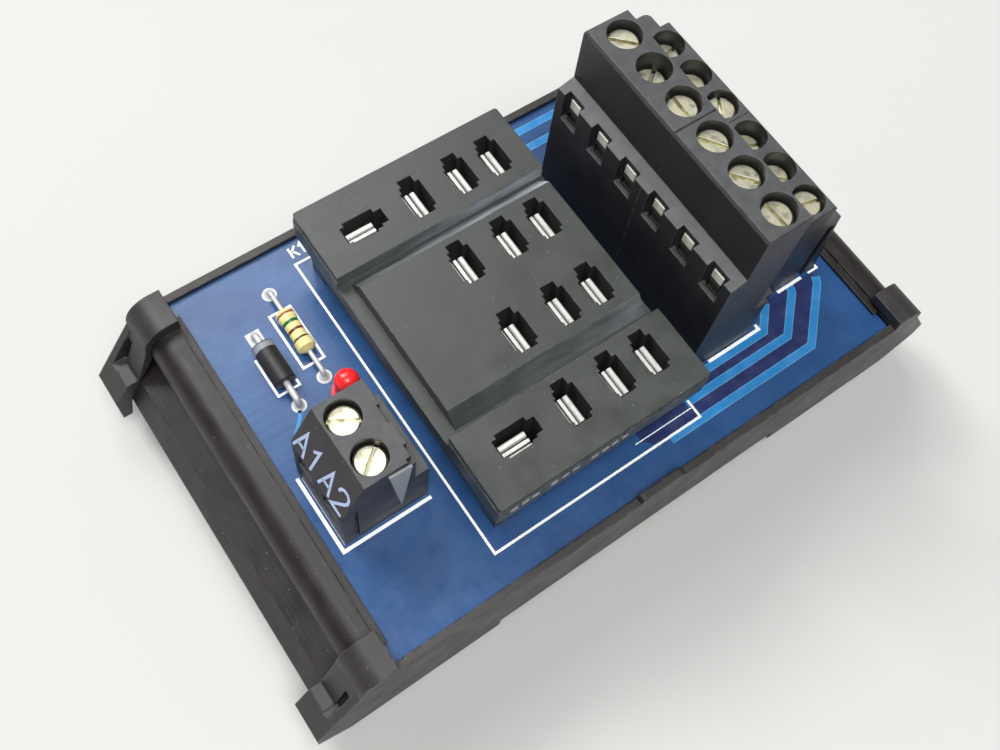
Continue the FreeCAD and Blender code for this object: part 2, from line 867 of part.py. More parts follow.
def make_socket_body():
    body = new_body("socket_body")
    left, right, front, rear = socket_left, socket_right, socket_front, socket_rear
    flange_low = socket_top - s.socket_flange
    band_low = socket_top - s.socket_band
    step = s.socket_band_in
    inset = s.socket_inset
    add(body, "skirt", "z", board_top + s.socket_stand, flange_low,
        rectangle(left + inset, right - inset, front + inset, rear - inset))
    add(body, "flange", "z", flange_low, band_low, rectangle(left, right, front, rear))
    add(body, "top_band", "z", band_low, socket_top,
        rectangle(left + step, right - step, front + step, rear - step))
    round_edges(body, "band_corners", s.socket_corner - step, "z",
                dict(x=left + step, y=front + step), dict(x=left + step, y=rear - step),
                dict(x=right - step, y=front + step), dict(x=right - step, y=rear - step))
    round_edges(body, "flange_corners", s.socket_corner, "z",
                dict(x=left, y=front), dict(x=left, y=rear),
                dict(x=right, y=front), dict(x=right, y=rear))
    foot = s.socket_foot
    corners = []
    for low_x in (left + inset, right - inset - foot):
        for low_y in (front + inset, rear - inset - foot):
            corners.append(rectangle(low_x, low_x + foot, low_y, low_y + foot))
    add(body, "standing_feet", "z", board_top, board_top + s.socket_stand, *corners)
    # grooves between the middle bridge and the two outer strips
    groove_low = socket_top - s.groove_deep
    rear_wall = rear - s.strip_wide
    front_wall = front + s.strip_wide_front
    middle_rear = s.middle_rear
    middle_front = -s.middle_front
    rear_groove = [(middle_rear, socket_top), (middle_rear + s.middle_bevel, groove_low),
                   (rear_wall, groove_low), (rear_wall, socket_top)]
    front_groove = [(front_wall, socket_top), (front_wall, groove_low),
                    (middle_front - s.middle_bevel, groove_low), (middle_front, socket_top)]
    cut(body, "strip_grooves", "x", left, right, rear_groove, front_groove)
    cut(body, "bridge_ends", "z", groove_low, socket_top,
        rectangle(left, left + s.middle_end_left, front_wall, rear_wall),
        rectangle(right - s.middle_end_right, right, front_wall, rear_wall))
    low = board_top + s.socket_stand
    coil_slots = [swapped(slot_outline(row, s.coil_column)) for row in coil_rows]
    cut(body, "coil_slots", "z", low, socket_top, *coil_slots)
    slots = [slot_outline(column, row_places[0]) for column in contact_columns]
    first_row = cut(body, "contact_slots", "z", low, socket_top, *slots)
    repeat(body, "slot_rows", [first_row], "y", s.row_apart, SOCKET_ROWS)
    return body


def slot_outline(across, along):
    """One contact's slot, with an ear at one end and a narrower tail at the other."""
    return [
        (across - s.slot_tail_back, along - s.slot_tail_end),
        (across + s.slot_tail_face, along - s.slot_tail_end),
        (across + s.slot_tail_face, along - s.slot_tail_start),
        (across + s.slot_half, along - s.slot_tail_start),
        (across + s.slot_half, along + s.slot_face_end),
        (across + s.slot_ear_face, along + s.slot_face_end),
        (across + s.slot_ear_face, along + s.slot_ear_end),
        (across - s.slot_ear_back, along + s.slot_ear_end),
        (across - s.slot_ear_back, along + s.slot_neck_end),
        (across - s.slot_neck_back, along + s.slot_neck_end),
        (across - s.slot_neck_back, along + s.slot_back_end),
        (across - s.slot_half, along + s.slot_back_end),
        (across - s.slot_half, along - s.slot_tail_start),
        (across - s.slot_tail_back, along - s.slot_tail_start),
    ]


def swapped(outline):
    """The same outline with its two directions exchanged."""
    return [(up, across) for across, up in outline]


# --- contacts in the socket ----------------------------------------------------------

contact_top = socket_top - s.contact_sink
contact_low = contact_top - s.contact_tall


def contact_outline(middle):
    """A flat blade joined at its foot to a strip folded over its top, seen end on."""
    back = middle - s.contact_back
    face = back + s.contact_blade
    left = face + s.contact_blade_gap
    right = left + s.contact_fold
    sheet_thick = s.contact_sheet
    return [
        (back, contact_low),
        (back, contact_top),
        (face, contact_top),
        (face, contact_low + sheet_thick),
        (left, contact_low + sheet_thick),
        (left, contact_top - s.contact_bevel),
        (left + s.contact_bevel, contact_top),
        (right - s.contact_bevel, contact_top),
        (right, contact_top - s.contact_bevel),
        (right, contact_low),
        (right - sheet_thick, contact_low),
        (right - sheet_thick, contact_top - sheet_thick),
        (left + sheet_thick, contact_top - sheet_thick),
        (left + sheet_thick, contact_low),
    ]


def leaf_outline(middle):
    """The thin leaf behind the blade, joined to it at the foot."""
    blade = middle - s.contact_back
    face = blade - s.contact_leaf_gap
    back = face - s.contact_sheet
    return [
        (back, contact_low),
        (back, contact_top),
        (face, contact_top),
        (face, contact_low + s.contact_sheet),
        (blade, contact_low + s.contact_sheet),
        (blade, contact_low),
    ]


def make_socket_contacts():
    body = new_body("socket_contacts")
    row = row_places[0]
    end = row + s.contact_end
    springs = add(body, "contact_springs", "y", row - s.contact_start, end,
                  *[contact_outline(column) for column in contact_columns])
    leaves = add(body, "contact_leaves", "y", row - s.contact_leaf_start, end,
                 *[leaf_outline(column) for column in contact_columns])
    pins = [pin_outline(column, row) for column in contact_columns]
    contact_pins = add(body, "contact_pins", "z", pin_low, contact_low, *pins)
    repeat(body, "contact_rows", [springs, leaves, contact_pins], "y", s.row_apart, SOCKET_ROWS)
    return body


def pin_outline(across, along):
    """The board pin under a contact's blade."""
    middle = across + contact_pin_shift
    return rectangle(middle - s.pin_thick / 2, middle + s.pin_thick / 2,
                     along - s.pin_wide / 2, along + s.pin_wide / 2)


def make_coil_contacts():
    body = new_body("coil_contacts")
    column = s.coil_column
    end = column + s.contact_end
    add(body, "coil_springs", "x", column - s.contact_start, end,
        *[contact_outline(row) for row in coil_rows])
    add(body, "coil_leaves", "x", column - s.contact_leaf_start, end,
        *[leaf_outline(row) for row in coil_rows])
    pins = [swapped(pin_outline(row, column)) for row in coil_rows]
    add(body, "coil_pins", "z", pin_low, contact_low, *pins)
    return body


# --- screw clamps --------------------------------------------------------------------

clamp_top = s.screw_sink + s.head_thick + s.clamp_travel + s.clamp_stop
clamp_inside_top = clamp_top + s.clamp_roof
clamp_inside_low = clamp_inside_top + s.clamp_space
clamp_low = clamp_inside_low + s.clamp_base
chamber_half = s.clamp_wide / 2 + s.clamp_fit
chamber_deep = s.clamp_deep / 2 + s.clamp_fit


def clamp_room(body, name, screw_x, way, tier_top, mouth, tail_end):
    """The hole, chamber, wire mouth and tail slot that one clamp needs in its housing.

    mouth and tail_end are the places along X where the wire comes in and the tail ends.
    """
    room_top = tier_top - clamp_top + s.clamp_fit
    room_low = tier_top - clamp_low - s.clamp_fit
    hole = cut(body, f"{name}_screw_hole", "z", room_top, tier_top,
               Circle(screw_x, way, s.screw_hole / 2))
    chamber = cut(body, f"{name}_chamber", "z", room_low, room_top,
                  rectangle(screw_x - chamber_deep, screw_x + chamber_deep,
                            way - chamber_half, way + chamber_half))
    entry_half = s.clamp_wide / 2 - s.clamp_side
    entry = rectangle(way - entry_half, way + entry_half,
                      tier_top - clamp_inside_low,
                      tier_top - clamp_inside_top - s.entry_roof)
    tail_half = s.tail_wide / 2 + s.clamp_fit
    tail_low = tier_top - clamp_low - s.clamp_fit
    tail_high = tail_low + s.tail_thick + s.clamp_fit * 2
    tail = rectangle(way - tail_half, way + tail_half, tail_low, tail_high)
    pin_left = tail_end - s.clamp_fit
    pin_right = tail_end + s.tail_thick + s.clamp_fit
    if mouth.number > screw_x.number:
        mouth_cut = cut(body, f"{name}_wire_mouth", "x", screw_x, mouth, entry)
        tail_cut = cut(body, f"{name}_tail_slot", "x", pin_left, screw_x, tail)
    else:
        mouth_cut = cut(body, f"{name}_wire_mouth", "x", mouth, screw_x, entry)
        tail_cut = cut(body, f"{name}_tail_slot", "x", screw_x, pin_right, tail)
    pin_cut = cut(body, f"{name}_pin_channel", "z", board_top, tail_high,
                  rectangle(pin_left, pin_right, way - tail_half, way + tail_half))
    return [hole, chamber, mouth_cut, tail_cut, pin_cut]


def clamp_frame(body, name, screw_x, way, tier_top, tail_end, pin_top):
    """A metal frame that the screw threads into, with a tail that runs to the board."""
    half_deep = s.clamp_deep / 2
    half_wide = s.clamp_wide / 2
    inner = half_wide - s.clamp_side
    low = tier_top - clamp_low
    outer = rectangle(way - half_wide, way + half_wide, low, tier_top - clamp_top)
    window = rectangle(way - inner, way + inner,
                       tier_top - clamp_inside_low, tier_top - clamp_inside_top)
    frame = add(body, f"{name}_frame", "x", screw_x - half_deep, screw_x + half_deep,
                outer, window)
    bore = cut(body, f"{name}_thread", "z", tier_top - clamp_inside_top, tier_top - clamp_top,
               Circle(screw_x, way, s.screw_shank / 2 + s.shank_clear))
    tail_half = s.tail_wide / 2
    tail = rectangle(way - tail_half, way + tail_half, low, low + s.tail_thick)
    if tail_end.number < screw_x.number:
        strip = add(body, f"{name}_tail", "x", tail_end, screw_x - half_deep, tail)
    else:
        strip = add(body, f"{name}_tail", "x", screw_x + half_deep,
                    tail_end + s.tail_thick, tail)
    pin = add(body, f"{name}_pin", "z", pin_low, pin_top,
              rectangle(tail_end, tail_end + s.tail_thick, way - tail_half, way + tail_half))
    return [frame, bore, strip, pin]


def make_clamp_frames(name, screw_x, ways, tier_top, tail_end, pin_top):
    body = new_body(name)
    features = clamp_frame(body, name, screw_x, ways[0], tier_top, tail_end, pin_top)
    repeat(body, f"{name}_row", features, "y", s.way_wide, len(ways))
    return body


def make_upper_clamps():
    """The upper tier's frames, whose pins end in tabs that show in the housing's notches."""
    body = make_clamp_frames("upper_clamps", s.upper_screw, upper_ways, upper_top,
                             s.upper_pin, board_top + s.upper_pin_top)
    cut(body, "tab_necks", "z", board_top + s.notch_low, board_top + s.tab_low,
        rectangle(s.upper_pin, s.upper_pin + s.tab_sink,
                  upper_ways[0] - s.tail_wide, upper_ways[-1] + s.tail_wide))
    return body


def make_screw(name, screw_x, way, tier_top, turned_in, angle):
    """A slotted screw whose own origin is the middle of its tip."""
    top = s.screw_reach + s.head_thick
    tip = tier_top - s.screw_sink - turned_in - top
    body = new_body(name, at=(screw_x, way, tip), turn=angle)
    head = s.screw_head / 2
    shank = s.screw_shank / 2
    outline = [
        (0, 0),
        (shank, 0),
        (shank, s.screw_reach),
        (head, s.screw_reach),
        (head, top - s.head_chamfer),
        (head - s.head_chamfer, top),
        (0, top),
    ]
    revolve(body, f"{name}_turned", outline)
    cut(body, f"{name}_slot", "z", top - s.screw_slot_deep, top,
        rectangle(-head, head, -s.screw_slot / 2, s.screw_slot / 2))
    return body


def make_press_plate(name, screw_x, way, tier_top, turned_in):
    """The plate under a screw's tip, ribbed where it presses on the wire."""
    tip = tier_top - s.screw_sink - turned_in - s.screw_reach - s.head_thick
    body = new_body(name, at=(screw_x, way, tip - s.plate_gap - s.press_plate))
    half_wide = s.clamp_wide / 2 - s.clamp_side - s.press_plate_clear
    half_deep = s.clamp_deep / 2
    add(body, f"{name}_leaf", "z", 0, s.press_plate,
        rectangle(-half_deep, half_deep, -half_wide, half_wide))
    ribs = []
    for place in (-1, 0, 1):
        middle = s.plate_rib_gap * place
        ribs.append([(middle - s.plate_rib, 0), (middle, s.plate_rib),
                     (middle + s.plate_rib, 0)])
    cut(body, f"{name}_ribs", "y", -half_wide, half_wide, *ribs)
    return body


# --- terminal housings ---------------------------------------------------------------

upper_top = board_top + s.upper_high
lower_top = board_top + s.lower_high
control_top = board_top + s.control_high


def make_terminal_block(name, start, has_end_rib):
    """One three-way moulding of two tiers, the lower tier half a way further back."""
    body = new_body(name)
    end = start + s.way_wide * UPPER_TIER_WAYS
    low_start = start + s.tier_shift
    low_end = end + s.tier_shift
    upper = [
        (s.back_face, board_top),
        (s.upper_foot_end, board_top),
        (s.upper_foot_end, board_top + s.upper_foot_high),
        (s.upper_front, board_top + s.upper_foot_high),
        (s.upper_front, upper_top),
        (s.upper_back, upper_top),
        (s.upper_back, board_top + s.back_ledge_high),
        (s.back_face, board_top + s.back_ledge_low),
    ]
    add(body, f"{name}_upper", "y", start, end, upper)
    lower = [
        (s.upper_foot_end, board_top),
        (s.lower_toe, board_top),
        (s.lower_nose, board_top + s.lower_step),
        (s.lower_front, board_top + s.lower_step),
        (s.lower_front, lower_top),
        (s.upper_front, lower_top),
        (s.upper_front, board_top + s.upper_foot_high),
        (s.upper_foot_end, board_top + s.upper_foot_high),
    ]
    add(body, f"{name}_lower", "y", low_start, low_end, lower)
    bevel_edges(body, f"{name}_edges", s.block_edge, "y",
                dict(x=s.upper_front, z=upper_top), dict(x=s.upper_back, z=upper_top),
                dict(x=s.lower_front, z=lower_top))
    bevel_edges(body, f"{name}_end_edges", s.block_end_edge, "x",
                dict(y=start, z=upper_top), dict(y=end, z=upper_top),
                dict(y=low_start, z=lower_top))
    if has_end_rib:
        rib_end = low_end + s.end_rib_out
        rib_right = s.end_rib_start + s.end_rib_long
        add(body, f"{name}_rib", "z", board_top, lower_top,
            rectangle(s.end_rib_start, rib_right, low_end, rib_end))
        round_edges(body, f"{name}_rib_corners", s.end_rib_round, "z",
                    dict(x=s.end_rib_start, y=rib_end), dict(x=rib_right, y=rib_end))
    else:
        half = s.flute_wide / 2
        cut(body, f"{name}_outer_flute", "z", board_top, board_top + s.outer_flute_high,
            rectangle(s.outer_flute - half, s.outer_flute + half,
                      low_start, low_start + s.flute_deep))
        cut(body, f"{name}_inner_flute", "z", board_top, board_top + s.upper_foot_high,
            rectangle(s.upper_foot_end - s.flute_wide, s.upper_foot_end,
                      start, start + s.flute_deep))
    way = start + s.way_wide / 2
    low_way = low_start + s.way_wide / 2
    features = clamp_room(body, f"{name}_a", s.upper_screw, way, upper_top,
                          s.upper_front, s.upper_pin)
    notch = cut(body, f"{name}_notch", "z", board_top + s.notch_low,
                board_top + s.back_ledge_high,
                rectangle(s.back_face, s.back_face + s.notch_deep,
                          way - s.notch_wide / 2, way + s.notch_wide / 2))
    tab_half = s.tail_wide / 2 + s.clamp_fit
    tab_room = cut(body, f"{name}_tab_room", "z", board_top + s.notch_low,
                   board_top + s.upper_pin_top + s.clamp_fit,
                   rectangle(s.upper_pin - s.clamp_fit,
                             s.upper_pin + s.tail_thick + s.clamp_fit,
                             way - tab_half, way + tab_half))
    features += [notch, tab_room]
    features += clamp_room(body, f"{name}_b", s.lower_screw, low_way, lower_top,
                           s.lower_toe, s.lower_pin)
    repeat(body, f"{name}_ways", features, "y", s.way_wide, UPPER_TIER_WAYS)
    return body


def make_control_block():
    body = new_body("control_block")
    start = s.control_end
    end = start + s.way_wide * 2
    outline = [
        (s.control_toe, board_top),
        (s.control_ledge, board_top),
        (s.control_ledge, board_top + s.control_ledge_high),
        (s.control_back, board_top + s.control_ledge_high),
        (s.control_back, control_top),
        (s.control_front, control_top),
        (s.control_knee, board_top + s.control_knee_high),
    ]
    add(body, "control_housing", "y", start, end, outline)
    tab = [
        (s.control_tab_front, board_top + s.control_tab_front_high),
        (s.control_tab_foot, board_top + s.control_tab_foot_high),
        (s.control_tab_back, board_top + s.control_tab_back_high),
    ]
    add(body, "control_end_tab", "y", start - s.control_tab_out, start, tab)
    cut(body, "control_flute", "z", board_top, board_top + s.control_flute_high,
        rectangle(s.control_flute_at, s.control_flute_at + s.control_flute_wide,
                  start, start + s.control_flute_deep))
    slits = []
    for way in control_ways:
        middle = way - s.control_slit_shift
        slits.append(rectangle(s.control_back - s.control_slit_wide, s.control_back,
                               middle - s.control_slit_long / 2,
                               middle + s.control_slit_long / 2))
    slit_low = control_top - s.control_slit_deep
    cut(body, "control_slits", "z", slit_low, control_top, *slits)
    cut(body, "control_nick", "z", slit_low, control_top,
        rectangle(s.control_back - s.control_nick_long, s.control_back,
                  start, start + s.control_nick_wide))
    features = clamp_room(body, "control", s.control_screw, control_ways[0], control_top,
                          s.control_toe, control_tail_end)
    repeat(body, "control_pair", features, "y", s.way_wide, 2)
    return body


# --- small parts ---------------------------------------------------------------------

def turned_body(name, at_x, at_y, axis_z, half_outline):
    """A round body lying along Y: turned about its own X, then set square to it."""
    body = new_body(name, at=(at_x, at_y, axis_z), turn=90)
    revolve(body, f"{name}_turned", half_outline, axis="x")
    return body


def make_resistor_body():
    half = s.resistor_body / 2
    cap = s.resistor_cap
    edge = s.resistor_edge
    neck = s.resistor_neck
    end = s.resistor_end / 2
    thick = s.resistor_thick / 2
    waist = s.resistor_waist / 2
    outline = [
        (-half, 0), (-half, end), (-half + edge, thick), (-half + cap, thick),
        (-half + neck, waist), (half - neck, waist), (half - cap, thick),
        (half - edge, thick), (half, end), (half, 0),
    ]
    axis_z = board_top + s.part_lift + thick
    return turned_body("resistor_body", s.resistor_at_x, s.resistor_mid, axis_z, outline)


def make_diode_body():
    half = s.diode_body / 2
    thick = s.diode_thick / 2
    edge = s.diode_edge
    outline = [(-half, 0), (-half, thick - edge), (-half + edge, thick),
               (half - edge, thick), (half, thick - edge), (half, 0)]
    axis_z = board_top + s.part_lift + thick
    return turned_body("diode_body", s.diode_at_x, s.diode_mid, axis_z, outline)


def make_leads(name, at_x, rear, span, middle, long, thick, lead):
    """Two bent wires: level from each end of the body, then down through the board."""
    body = new_body(name, at=(at_x, 0, 0))
    axis_z = board_top + s.part_lift + thick / 2
    bend = s.lead_bend
    for side, place in (("rear", rear), ("front", rear - span)):
        toward = 1 if side == "rear" else -1
        from_y = middle + long / 2 * toward
        path = body.newObject("Sketcher::SketchObject", f"{name}_{side}_path")
        path.AttachmentSupport = (own(body, "YZ_Plane"), [""])
        path.MapMode = "FlatFace"
        draw_bent_path(path, from_y, place, axis_z, pin_low, bend, toward)
        profile = sketch_across(body, f"{name}_{side}_section", "y", from_y,
                                [Circle(0, axis_z, lead / 2)])
        pipe = body.newObject("PartDesign::AdditivePipe", f"{name}_{side}")
        pipe.Profile = profile
        pipe.Spine = (path, ["Edge1", "Edge2", "Edge3"])
        settle(body, pipe, grows=True)
    return body


def draw_bent_path(sketch, from_y, to_y, level, low, bend, toward):
    """A level run and a drop joined by a quarter arc that is tangent to both."""
    level_end = as_size(to_y) - bend * toward
    centre = (level_end, level - bend)
    drop_top = level - bend
    start = Vector(as_size(from_y).number, level.number, 0)
    corner_a = Vector(level_end.number, level.number, 0)
    corner_b = Vector(as_size(to_y).number, drop_top.number, 0)
    end = Vector(as_size(to_y).number, low.number, 0)
    middle = Vector(centre[0].number, centre[1].number, 0)
    sketch.addGeometry(Part.LineSegment(start, corner_a), False)
    sketch.addGeometry(Part.LineSegment(corner_b, end), False)
    circle = Part.Circle(middle, Vector(0, 0, 1), bend.number)
    turn = (0, math.pi / 2) if toward > 0 else (math.pi / 2, math.pi)
    sketch.addGeometry(Part.ArcOfCircle(circle, *turn), False)
    tie_point(sketch, 0, 1, as_size(from_y), level)
    tie_point(sketch, 0, 2, level_end, level)
    tie_point(sketch, 1, 1, as_size(to_y), drop_top)
    tie_point(sketch, 1, 2, as_size(to_y), low)
    level_side, drop_side = (2, 1) if toward > 0 else (1, 2)
    sketch.addConstraint(Sketcher.Constraint("Tangent", 2, level_side, 0, 2))
    sketch.addConstraint(Sketcher.Constraint("Coincident", 2, drop_side, 1, 1))


def make_lamp_lens():
    """The indicator lamp: a rim, a straight barrel and a domed end."""
    body = new_body("lamp_lens", at=(s.lamp_at_x, s.lamp_at_y, board_top + s.lamp_lift))
    radius = s.lamp_thick / 2
    rim = s.lamp_rim / 2
    add(body, "lamp_rim", "z", 0, s.lamp_rim_high, Circle(0, 0, rim))
    barrel = add(body, "lamp_barrel", "z", s.lamp_rim_high, s.lamp_tall, Circle(0, 0, radius))
    top = [f"Edge{number}" for number, edge in enumerate(barrel.Shape.Edges, start=1)
           if abs(edge.BoundBox.ZMin - s.lamp_tall.number) < SAME]
    dome = body.newObject("PartDesign::Fillet", "lamp_dome")
    dome.Base = (barrel, top)
    bind(dome, "Radius", s.lamp_crown)
    doc.recompute()
    return body


def make_lamp_leads():
    body = new_body("lamp_leads", at=(s.lamp_at_x, s.lamp_at_y, 0))
    half = s.lamp_lead / 2
    legs = []
    for side in (-0.5, 0.5):
        middle = s.lamp_lead_gap * side
        legs.append(rectangle(-half, half, middle - half, middle + half))
    add(body, "lamp_legs", "z", pin_low, board_top + s.lamp_lift, *legs)
    return body


# --- the whole part ------------------------------------------------------------------

def make_clamp_tier(word, screw_x, ways, tier_top, settings):
    """The screws and plates of one tier, numbered from the front."""
    made = []
    for number, (way, (turned_in, angle)) in enumerate(zip(ways, settings), start=1):
        made.append(make_screw(f"{word}_screw_{number}", screw_x, way, tier_top,
                               turned_in, angle))
        made.append(make_press_plate(f"{word}_plate_{number}", screw_x, way, tier_top,
                                     turned_in))
    return made


def make_everything():
    made = [
        make_base_profile(),
        make_end_plate("end_plate_front", 0),
        make_end_plate("end_plate_rear", 180),
        make_rail_foot(),
        make_rail_latch(),
        make_latch_spring(),
        make_circuit_board(),
        make_socket_body(),
        make_socket_contacts(),
        make_coil_contacts(),
        make_terminal_block("terminal_block_front", s.upper_start, has_end_rib=False),
        make_terminal_block("terminal_block_rear",
                            s.upper_start + s.way_wide * UPPER_TIER_WAYS, has_end_rib=True),
        make_control_block(),
        make_upper_clamps(),
        make_clamp_frames("lower_clamps", s.lower_screw, lower_ways, lower_top,
                          s.lower_pin, lower_top - clamp_low + s.tail_thick),
        make_clamp_frames("control_clamps", s.control_screw, control_ways, control_top,
                          control_tail_end,
                          control_top - clamp_low + s.tail_thick),
        make_resistor_body(),
        make_leads("resistor_leads", s.resistor_at_x, s.resistor_rear, s.resistor_span,
                   s.resistor_mid, s.resistor_body, s.resistor_thick, s.resistor_lead),
        make_diode_body(),
        make_leads("diode_leads", s.diode_at_x, s.diode_rear, s.diode_span,
                   s.diode_mid, s.diode_body, s.diode_thick, s.diode_lead),
        make_lamp_lens(),
        make_lamp_leads(),
    ]
    made += make_clamp_tier("upper", s.upper_screw, upper_ways, upper_top, UPPER_SCREWS)
    made += make_clamp_tier("lower", s.lower_screw, lower_ways, lower_top, LOWER_SCREWS)
    made += make_clamp_tier("control", s.control_screw, control_ways, control_top,
                            CONTROL_SCREWS)
    return made


def write_parts(bodies):
    """Check every object and every solid, then write one file for each body."""
    doc.recompute()
    for thing in doc.Objects:
        if "Invalid" in thing.State or "Error" in thing.State:
            raise ValueError(f"{thing.Name} failed: {thing.State}")
    for body in bodies:
        if body.Shape.isNull() or not body.Shape.isValid():
            raise ValueError(f"{body.Name} has no valid shape")
    os.makedirs("parts", exist_ok=True)
    for body in bodies:
        body.Shape.exportStep(os.path.join("parts", f"{body.Label}.step"))
        box = body.Shape.BoundBox
        print(f"{body.Label}: {len(body.Shape.Solids)} solids, "
              f"x {box.XMin:.2f}..{box.XMax:.2f}, y {box.YMin:.2f}..{box.YMax:.2f}, "
              f"z {box.ZMin:.2f}..{box.ZMax:.2f}")


write_parts(make_everything())
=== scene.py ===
import math

import bmesh
import bpy
from mathutils import Matrix, Vector


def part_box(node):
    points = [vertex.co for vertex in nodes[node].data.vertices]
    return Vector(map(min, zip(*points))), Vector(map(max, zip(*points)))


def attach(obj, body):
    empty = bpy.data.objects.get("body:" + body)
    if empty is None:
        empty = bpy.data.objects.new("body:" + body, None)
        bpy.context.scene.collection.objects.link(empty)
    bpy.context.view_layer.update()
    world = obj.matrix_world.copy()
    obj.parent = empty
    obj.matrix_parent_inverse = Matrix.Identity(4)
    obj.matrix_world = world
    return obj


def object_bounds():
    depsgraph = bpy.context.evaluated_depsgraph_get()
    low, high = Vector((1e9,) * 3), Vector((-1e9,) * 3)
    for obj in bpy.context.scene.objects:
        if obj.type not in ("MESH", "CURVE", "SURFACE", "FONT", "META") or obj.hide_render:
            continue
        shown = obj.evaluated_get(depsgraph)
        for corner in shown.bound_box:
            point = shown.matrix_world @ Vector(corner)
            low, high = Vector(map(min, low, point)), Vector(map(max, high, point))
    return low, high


# Looks of an interface board for a plug-in control relay.
# Lengths are written in millimetres and turned into metres by mm(), but for the lights,
# whose places and sizes are in metres.

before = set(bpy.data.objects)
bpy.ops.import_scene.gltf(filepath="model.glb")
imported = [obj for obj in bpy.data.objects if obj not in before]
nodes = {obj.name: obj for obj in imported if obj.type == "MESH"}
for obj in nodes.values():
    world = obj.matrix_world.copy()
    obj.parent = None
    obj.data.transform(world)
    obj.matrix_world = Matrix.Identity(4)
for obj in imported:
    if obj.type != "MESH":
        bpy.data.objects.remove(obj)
cad_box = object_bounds()
ROOT = "board_unit"
MM = 0.001


def mm(*values):
    return Vector(values) * MM


def box_mm(node):
    """Lowest and highest corner of a CAD node, in millimetres."""
    low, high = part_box(node)
    return low / MM, high / MM


socket_low, socket_high = box_mm("socket_body")
control_low, control_high = box_mm("control_block")
BOARD_TOP = box_mm("circuit_board")[1].z


# --- camera, light and floor ---------------------------------------------------------

CAMERA_PLACE = mm(-46.84, -41.37, 141.91)
CAMERA_RIGHT = Vector((0.81714, -0.57027, 0.08411))
CAMERA_DOWN = Vector((-0.48783, -0.76187, -0.42612))
CAMERA_FORWARD = Vector((0.30709, 0.30716, -0.90075))
CAMERA_LENS = 40.94
CAMERA_SHIFT = (-0.0015, -0.0458)


def place(thing, at, right, up, back):
    turn = Matrix((right, up, back)).transposed().to_4x4()
    thing.matrix_world = Matrix.Translation(at) @ turn


def add_camera():
    data = bpy.data.cameras.new("photo_camera")
    data.lens = CAMERA_LENS
    data.shift_x, data.shift_y = CAMERA_SHIFT
    data.clip_start = 0.01
    camera = bpy.data.objects.new("photo_camera", data)
    bpy.context.collection.objects.link(camera)
    place(camera, CAMERA_PLACE, CAMERA_RIGHT, -CAMERA_DOWN, -CAMERA_FORWARD)
    bpy.context.scene.camera = camera


# place, side length and power of each lamp
LIGHTS = {
    "overhead_softbox": ((0.10, 0.64, 0.95), 0.55, 5.0),
    "rear_key": ((-0.40, 1.05, 1.15), 0.5, 14.0),
    "front_key": ((-0.12, -0.34, 1.20), 0.6, 14.0),
    "left_fill": ((-0.95, -0.1, 0.55), 0.6, 0.1),
}
SKY = (0.92, 0.94, 1.0)
SKY_STRENGTH = 0.20


def add_softbox(name, at, size, power):
    """A square area lamp that faces the middle of the object."""
    data = bpy.data.lights.new(name, "AREA")
    data.shape = "SQUARE"
    data.size = size
    data.energy = power
    lamp = bpy.data.objects.new(name, data)
    bpy.context.collection.objects.link(lamp)
    middle = mm(0, 0, BOARD_TOP)
    lamp.location = at
    lamp.rotation_euler = (middle - at).to_track_quat("-Z", "Y").to_euler()


def add_lights():
    for name, (at, size, power) in LIGHTS.items():
        add_softbox(name, Vector(at), size, power)
    world = bpy.data.worlds.new("studio")
    world.use_nodes = True
    background = world.node_tree.nodes["Background"]
    background.inputs["Color"].default_value = (*SKY, 1)
    background.inputs["Strength"].default_value = SKY_STRENGTH
    bpy.context.scene.world = world
    bpy.context.scene.view_settings.view_transform = "Standard"


# --- materials -----------------------------------------------------------------------

